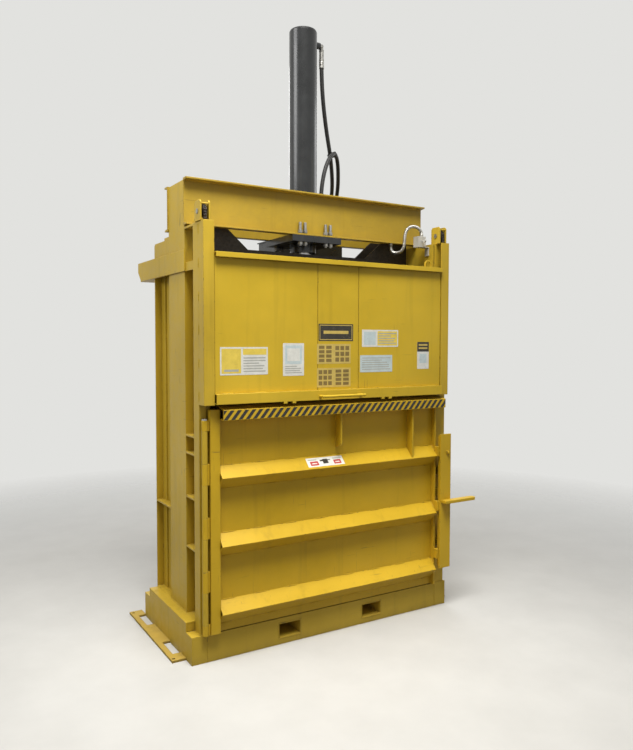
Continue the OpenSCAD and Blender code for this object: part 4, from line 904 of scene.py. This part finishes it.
FORK_X = 285
POCKET_HALF = 73.5
POCKET_LOW, POCKET_HIGH = 34, 121
FOOT_EDGE = 787
FOOT_SEAM_Z = (3, 147)
FOOT_TOP = 151
POST_OUT_LEFT, POST_IN_LEFT = -825, -786
POST_IN_RIGHT, POST_OUT_RIGHT = 786, 861
POST_FRONT, POST_BACK = 4.5, 80.5
POST_SIDE_Y = (6, 79)
GUIDE_X = 825.5
GUIDE_Z = (1400, 2320)
HOUSING_SIDES = (773, 829)
HOUSING_Y = (-30, 42)
HOUSING_LOW = 2336
COLUMN_X = 818.5
COLUMN_Y = (222, 476)
COLUMN_FOOT = 204.5
COLUMN_HEAD = (2350, 2590)
ARM_EDGES = (2094, 2213)
WALL_X = 771
BAR_HEIGHTS = (581, 860, 1103, 1199)
BAR_HALF = 6
BAR_Y = (84, 218)
BAR_X = (774, 815)
REAR_BAR_Z = 745
REAR_BAR_Y = (480, 656)
BACK_WALL = 700.5
BACK_WALL_HALF = 740
BACK_RIBS = (420, 800, 1180, 1560, 1930)
BACK_RIB_HALF = 51.5
RAIL_X = (819, 866.5)
RAIL_Z = (150.5, 194)
RAIL_ENDS = (88.5, 708.5)
RAIL_PLATE = 3
GATE_SEAM = -61
GATE_SEAM_HALF = 720
GATE_SEAM_HEIGHTS = (1441, 2148)


def bead(bm, start, end, radius=BEAD):
    """A rippled weld bead between two places."""
    a, b = at(*start), at(*end)
    count = max(3, int((b - a).length / RIPPLE_LENGTH))
    dice = random.Random(int(start[0] * 7 + start[1] * 3 + start[2]))
    points, radii = [], []
    for k in range(count + 1):
        points.append(a.lerp(b, k / count))
        ripple = 1.0 if k % 2 else 0.8
        radii.append(radius / 1000 * ripple * dice.uniform(0.88, 1.12))
    radii[0] = radii[-1] = radius / 2000
    add_tube(bm, points, radii, 6)


def stitches(bm, start, end, length=60, pitch=200, radius=BEAD):
    """Short beads spaced along a seam."""
    total = math.dist(start, end)
    count = max(1, round((total - length) / pitch))
    for k in range(count + 1):
        t0 = (total - length) * k / count / total
        t1 = t0 + length / total
        first = [a + (b - a) * t0 for a, b in zip(start, end)]
        last = [a + (b - a) * t1 for a, b in zip(start, end)]
        bead(bm, first, last, radius)


def door_welds():
    bm = bmesh.new()
    y, left, right = DOOR_SKIN, DOOR_LEFT, DOOR_RIGHT
    for z in DOOR_RIBS:
        over, under = z + RIB_REACH, z - RIB_REACH
        stitches(bm, (left + 22, y, over + 1), (right - 18, y, over + 1), 70, 200)
        stitches(bm, (left + 22, y, under - 1), (right - 18, y, under - 1), 50, 260)
        for x, fold_z, skin_z in ((left, z + RIB_FOLD, over - 1), (left, z - RIB_FOLD, under + 1),
                                  (right, z + RIB_FOLD, over - 1)):
            bead(bm, (x, RIB_FOLD_Y, fold_z), (x, RIB_SKIN_Y, skin_z), LARGE_BEAD)
    for gusset_x, foot in GUSSETS:
        sides = (gusset_x - 1, gusset_x + GUSSET_W + 1)
        for x in sides:
            stitches(bm, (x, y, foot + 6), (x, y, GUSSET_TOP), 40, 70)
        for x in sides:
            bead(bm, (x, SILL_Y[0], SILL_UNDER), (x, SILL_Y[1], SILL_UNDER))
    make("door_welds", bm, "door", DOOR, smooth=60)


def base_welds(bm):
    """Feet against the front beam, rims of the fork pockets, and posts on their feet."""
    z0, z1 = FOOT_SEAM_Z
    for x in (-FOOT_EDGE, FOOT_EDGE):
        bead(bm, (x, -0.5, z0), (x, -0.5, z1), SMALL_BEAD)
    for s in (-1, 1):
        x0, x1 = s * FORK_X - POCKET_HALF, s * FORK_X + POCKET_HALF
        rim = [(x0, POCKET_LOW), (x1, POCKET_LOW), (x1, POCKET_HIGH), (x0, POCKET_HIGH)]
        for a, b in zip(rim, rim[1:] + rim[:1]):
            bead(bm, (a[0], -0.3, a[1]), (b[0], -0.3, b[1]), TINY_BEAD)
    for x0, x1 in ((POST_OUT_LEFT, POST_IN_LEFT), (POST_IN_RIGHT, POST_OUT_RIGHT)):
        for y in (POST_FRONT, POST_BACK):
            bead(bm, (x0, y, FOOT_TOP), (x1, y, FOOT_TOP), POST_BEAD)
    y0, y1 = POST_SIDE_Y
    for x in (POST_OUT_LEFT - 0.5, POST_OUT_RIGHT + 0.5):
        bead(bm, (x, y0, FOOT_TOP), (x, y1, FOOT_TOP), POST_BEAD)


def side_welds(bm, s):
    """One side of the frame: s is -1 on the left and 1 on the right."""
    # Guides against the posts, and the chain housings on top
    z0, z1 = GUIDE_Z
    stitches(bm, (s * GUIDE_X, POST_FRONT, z0), (s * GUIDE_X, POST_FRONT, z1), 50, 180, SMALL_BEAD)
    y0, y1 = HOUSING_Y
    for x in HOUSING_SIDES:
        bead(bm, (s * x, y0, HOUSING_LOW), (s * x, y1, HOUSING_LOW), SMALL_BEAD)
    # Columns on the rails, up to the crosshead, and the shelf arms
    x = s * COLUMN_X
    y0, y1 = COLUMN_Y
    z0, z1 = COLUMN_HEAD
    bead(bm, (x, y0 + 4, COLUMN_FOOT), (x, y1 - 4, COLUMN_FOOT), LARGE_BEAD)
    for y in COLUMN_Y:
        bead(bm, (x, y, z0), (x, y, z1), LARGE_BEAD)
    for z in ARM_EDGES:
        stitches(bm, (x, y0 + 8, z), (x, y1 - 8, z), 70, 150)
    # Stiffener bars on the wall and against the column
    for z in BAR_HEIGHTS:
        for edge in (z + BAR_HALF, z - BAR_HALF):
            bead(bm, (s * WALL_X, BAR_Y[0], edge), (s * WALL_X, BAR_Y[1], edge), SMALL_BEAD)
        bead(bm, (s * BAR_X[0], y0 - 1, z + BAR_HALF), (s * BAR_X[1], y0 - 1, z + BAR_HALF), SMALL_BEAD)
    y0, y1 = REAR_BAR_Y
    bead(bm, (s * WALL_X, y0, REAR_BAR_Z), (s * WALL_X, y1, REAR_BAR_Z), SMALL_BEAD)


def frame_welds():
    bm = bmesh.new()
    base_welds(bm)
    for s in (-1, 1):
        side_welds(bm, s)
    # Ribs across the back wall
    for z in BACK_RIBS:
        for edge in (z + BACK_RIB_HALF, z - BACK_RIB_HALF):
            stitches(bm, (-BACK_WALL_HALF, BACK_WALL, edge), (BACK_WALL_HALF, BACK_WALL, edge), 60, 210)
    make("frame_welds", bm, "frame", FRAME, smooth=60)


def rail_ends():
    """Plates that close the ends of the side rails above the corner feet."""
    bm = bmesh.new()
    for s in (-1, 1):
        x0, x1 = sorted(s * x for x in RAIL_X)
        for y in RAIL_ENDS:
            add_box(bm, at(x0, y, RAIL_Z[0]), at(x1, y + RAIL_PLATE, RAIL_Z[1]))
    make("rail_end_plates", bm, "frame", FRAME, bevel=0.0005)


def gate_welds():
    bm = bmesh.new()
    for z in GATE_SEAM_HEIGHTS:
        stitches(bm, (-GATE_SEAM_HALF, GATE_SEAM, z), (GATE_SEAM_HALF, GATE_SEAM, z), 60, 190, TINY_BEAD)
    make("gate_welds", bm, "gate", GATE, smooth=60)


# Strap that holds the two hoses together

STRAP_INNER = 0.0132
STRAP_OUTER = 0.0158
STRAP_HALF = 0.010
STRAP_NEAR = (262, 452, 2919)
STRAP_FAR = (276, 421, 2922)
# The way that the hoses run there, before it is squared to the line between them
STRAP_WAY = (0.55, 0.62, -0.5)
STRAP_PARTS = 12


def hose_strap():
    """A flat band, closed round two centres."""
    bm = bmesh.new()
    near, far = at(*STRAP_NEAR), at(*STRAP_FAR)
    across = (far - near).normalized()
    way = Vector(STRAP_WAY)
    way = (way - across * way.dot(across)).normalized()
    side = across.cross(way)
    rings = []
    for r, w in ((STRAP_INNER, -STRAP_HALF), (STRAP_OUTER, -STRAP_HALF), (STRAP_OUTER, STRAP_HALF),
                 (STRAP_INNER, STRAP_HALF)):
        ring = []
        for centre, start in ((far, -90), (near, 90)):
            for k in range(STRAP_PARTS + 1):
                a = math.radians(start + 180 / STRAP_PARTS * k)
                ring.append(bm.verts.new(centre + (across * math.cos(a) + side * math.sin(a)) * r + way * w))
        rings.append(ring)
    n = len(rings[0])
    for i in range(4):
        a, b = rings[i], rings[(i + 1) % 4]
        for k in range(n):
            j = (k + 1) % n
            bm.faces.new((a[k], a[j], b[j], b[k]))
    make("hose_strap", bm, "frame", STRAP, smooth=40)


# Power unit: small fittings

TANK_LID = 2402.8
TANK_REAR = 1001
LID_SCREW_X = [40 + 62.5 * k for k in range(9)]
LID_SCREW_Y = (757, 1005)
GAUGE_X = 110
GAUGE_ENDS = (2180, 2330)
GAUGE_BOSS = [(0, 0), (0, 0.014), (0.012, 0.014), (0.012, 0.009), (0.02, 0.009), (0.02, 0)]
DRAIN_X, DRAIN_Z = 480, 2130
FAN_X = 36.3
MOTOR_Y, MOTOR_Z = 881, 2505
FAN_SLOTS = 18
SLOT_CIRCLE = 58
LIFT_EYE_X, LIFT_EYE_Z = 226, 2612
LIFT_EYE_RADIUS = 13
TERMINAL_LID = 2628.8
TERMINAL_SCREW_X = (106, 194)
TERMINAL_SCREW_Y = (847, 915)
HINGE_X, HINGE_Y = -498, 968
HINGE_HEIGHTS = (2140, 2256)
HINGE_HALF = 16
LOCK_X, LOCK_Y, LOCK_Z = -146, 968.8, 2198
KNOB = [(0, 0), (0, 0.012), (0.005, 0.012), (0.007, 0.009), (0.007, 0)]
VALVE_TOP = 2492.8
VALVE_FRONT = 845.8
VALVE_SCREW_X = (377, 463)
VALVE_SCREW_Y = (854, 908)
PLUG_X = (390, 450)
PLUG_Z = 2424


def tank_fittings():
    bm = bmesh.new()
    for x in LID_SCREW_X:
        for y in LID_SCREW_Y:
            add_hex(bm, at(x, y, TANK_LID), UP, 0.009, 0.005)
    # Ends of the oil level gauge, and the drain plug
    for z in GAUGE_ENDS:
        add_lathe(bm, at(GAUGE_X, TANK_REAR, z), BACK, GAUGE_BOSS, 20)
    add_lathe(bm, at(DRAIN_X, TANK_REAR, DRAIN_Z), BACK, disc(0.018, 0.006), 20)
    add_hex(bm, at(DRAIN_X, TANK_REAR + 5.5, DRAIN_Z), BACK, 0.022, 0.010)
    make("tank_fittings", bm, "frame", ZINC, smooth=30)
    bm = bmesh.new()
    low, high = GAUGE_ENDS
    add_tube(bm, [at(GAUGE_X, TANK_REAR + 10, low + 10), at(GAUGE_X, TANK_REAR + 10, high - 10)], 0.006, 14)
    make("level_glass", bm, "frame", GLASS, smooth=30)


def motor_fittings():
    """Dark discs of painted shade for the ring of slots in the fan cover, lid screws of the terminal box and
    a lifting eye.
    """
    bm = bmesh.new()
    # Painted shade: dark discs where the fan cover has slots
    for k in range(FAN_SLOTS):
        a = math.radians(360 / FAN_SLOTS * k)
        centre = at(FAN_X, MOTOR_Y + SLOT_CIRCLE * math.cos(a), MOTOR_Z + SLOT_CIRCLE * math.sin(a))
        add_lathe(bm, centre, LEFT, disc(0.0065, 0.0006), 10)
    add_lathe(bm, at(FAN_X, MOTOR_Y, MOTOR_Z), LEFT, disc(0.034, 0.0008), 24)
    make("fan_slot_shade", bm, "frame", DARK, smooth=30)
    bm = bmesh.new()
    for x in TERMINAL_SCREW_X:
        for y in TERMINAL_SCREW_Y:
            add_hex(bm, at(x, y, TERMINAL_LID), UP, 0.008, 0.004)
    r = LIFT_EYE_RADIUS
    ring = [at(LIFT_EYE_X, MOTOR_Y + r * math.cos(a), LIFT_EYE_Z + r * math.sin(a))
            for a in turns(20) + [2 * math.pi]]
    add_tube(bm, ring, 0.004, 10)
    make("motor_screws", bm, "frame", ZINC, smooth=30)


def starter_fittings():
    """Hinges of the starter box's door, and its turn lock with a small grip."""
    bm = bmesh.new()
    for z in HINGE_HEIGHTS:
        add_tube(bm, [at(HINGE_X, HINGE_Y, z - HINGE_HALF), at(HINGE_X, HINGE_Y, z + HINGE_HALF)], 0.006, 12)
    add_lathe(bm, at(LOCK_X, LOCK_Y, LOCK_Z), BACK, KNOB, 20)
    add_box(bm, at(LOCK_X - 2, 975, LOCK_Z - 8), at(LOCK_X + 2, 977, LOCK_Z + 8))
    make("starter_hinges", bm, "frame", ZINC, smooth=30)


def valve_fittings():
    """Screws on top of the valve block, and plugs in its front."""
    bm = bmesh.new()
    for x in VALVE_SCREW_X:
        for y in VALVE_SCREW_Y:
            add_hex(bm, at(x, y, VALVE_TOP), UP, 0.010, 0.007)
    for x in PLUG_X:
        add_hex(bm, at(x, VALVE_FRONT, PLUG_Z), FRONT, 0.016, 0.006)
    make("valve_plugs", bm, "frame", ZINC, smooth=30)


make_camera()
finish_nodes()
make_stage()
stripes()
gate_plates()
hose("cap_hose", CAP_ROUTE, "hose_cap_end")
hose("rod_hose", ROD_ROUTE, "hose_rod_end")
conduit()
chain_legs()
rib_sticker()
door_welds()
frame_welds()
rail_ends()
gate_welds()
hose_strap()
tank_fittings()
motor_fittings()
starter_fittings()
valve_fittings()
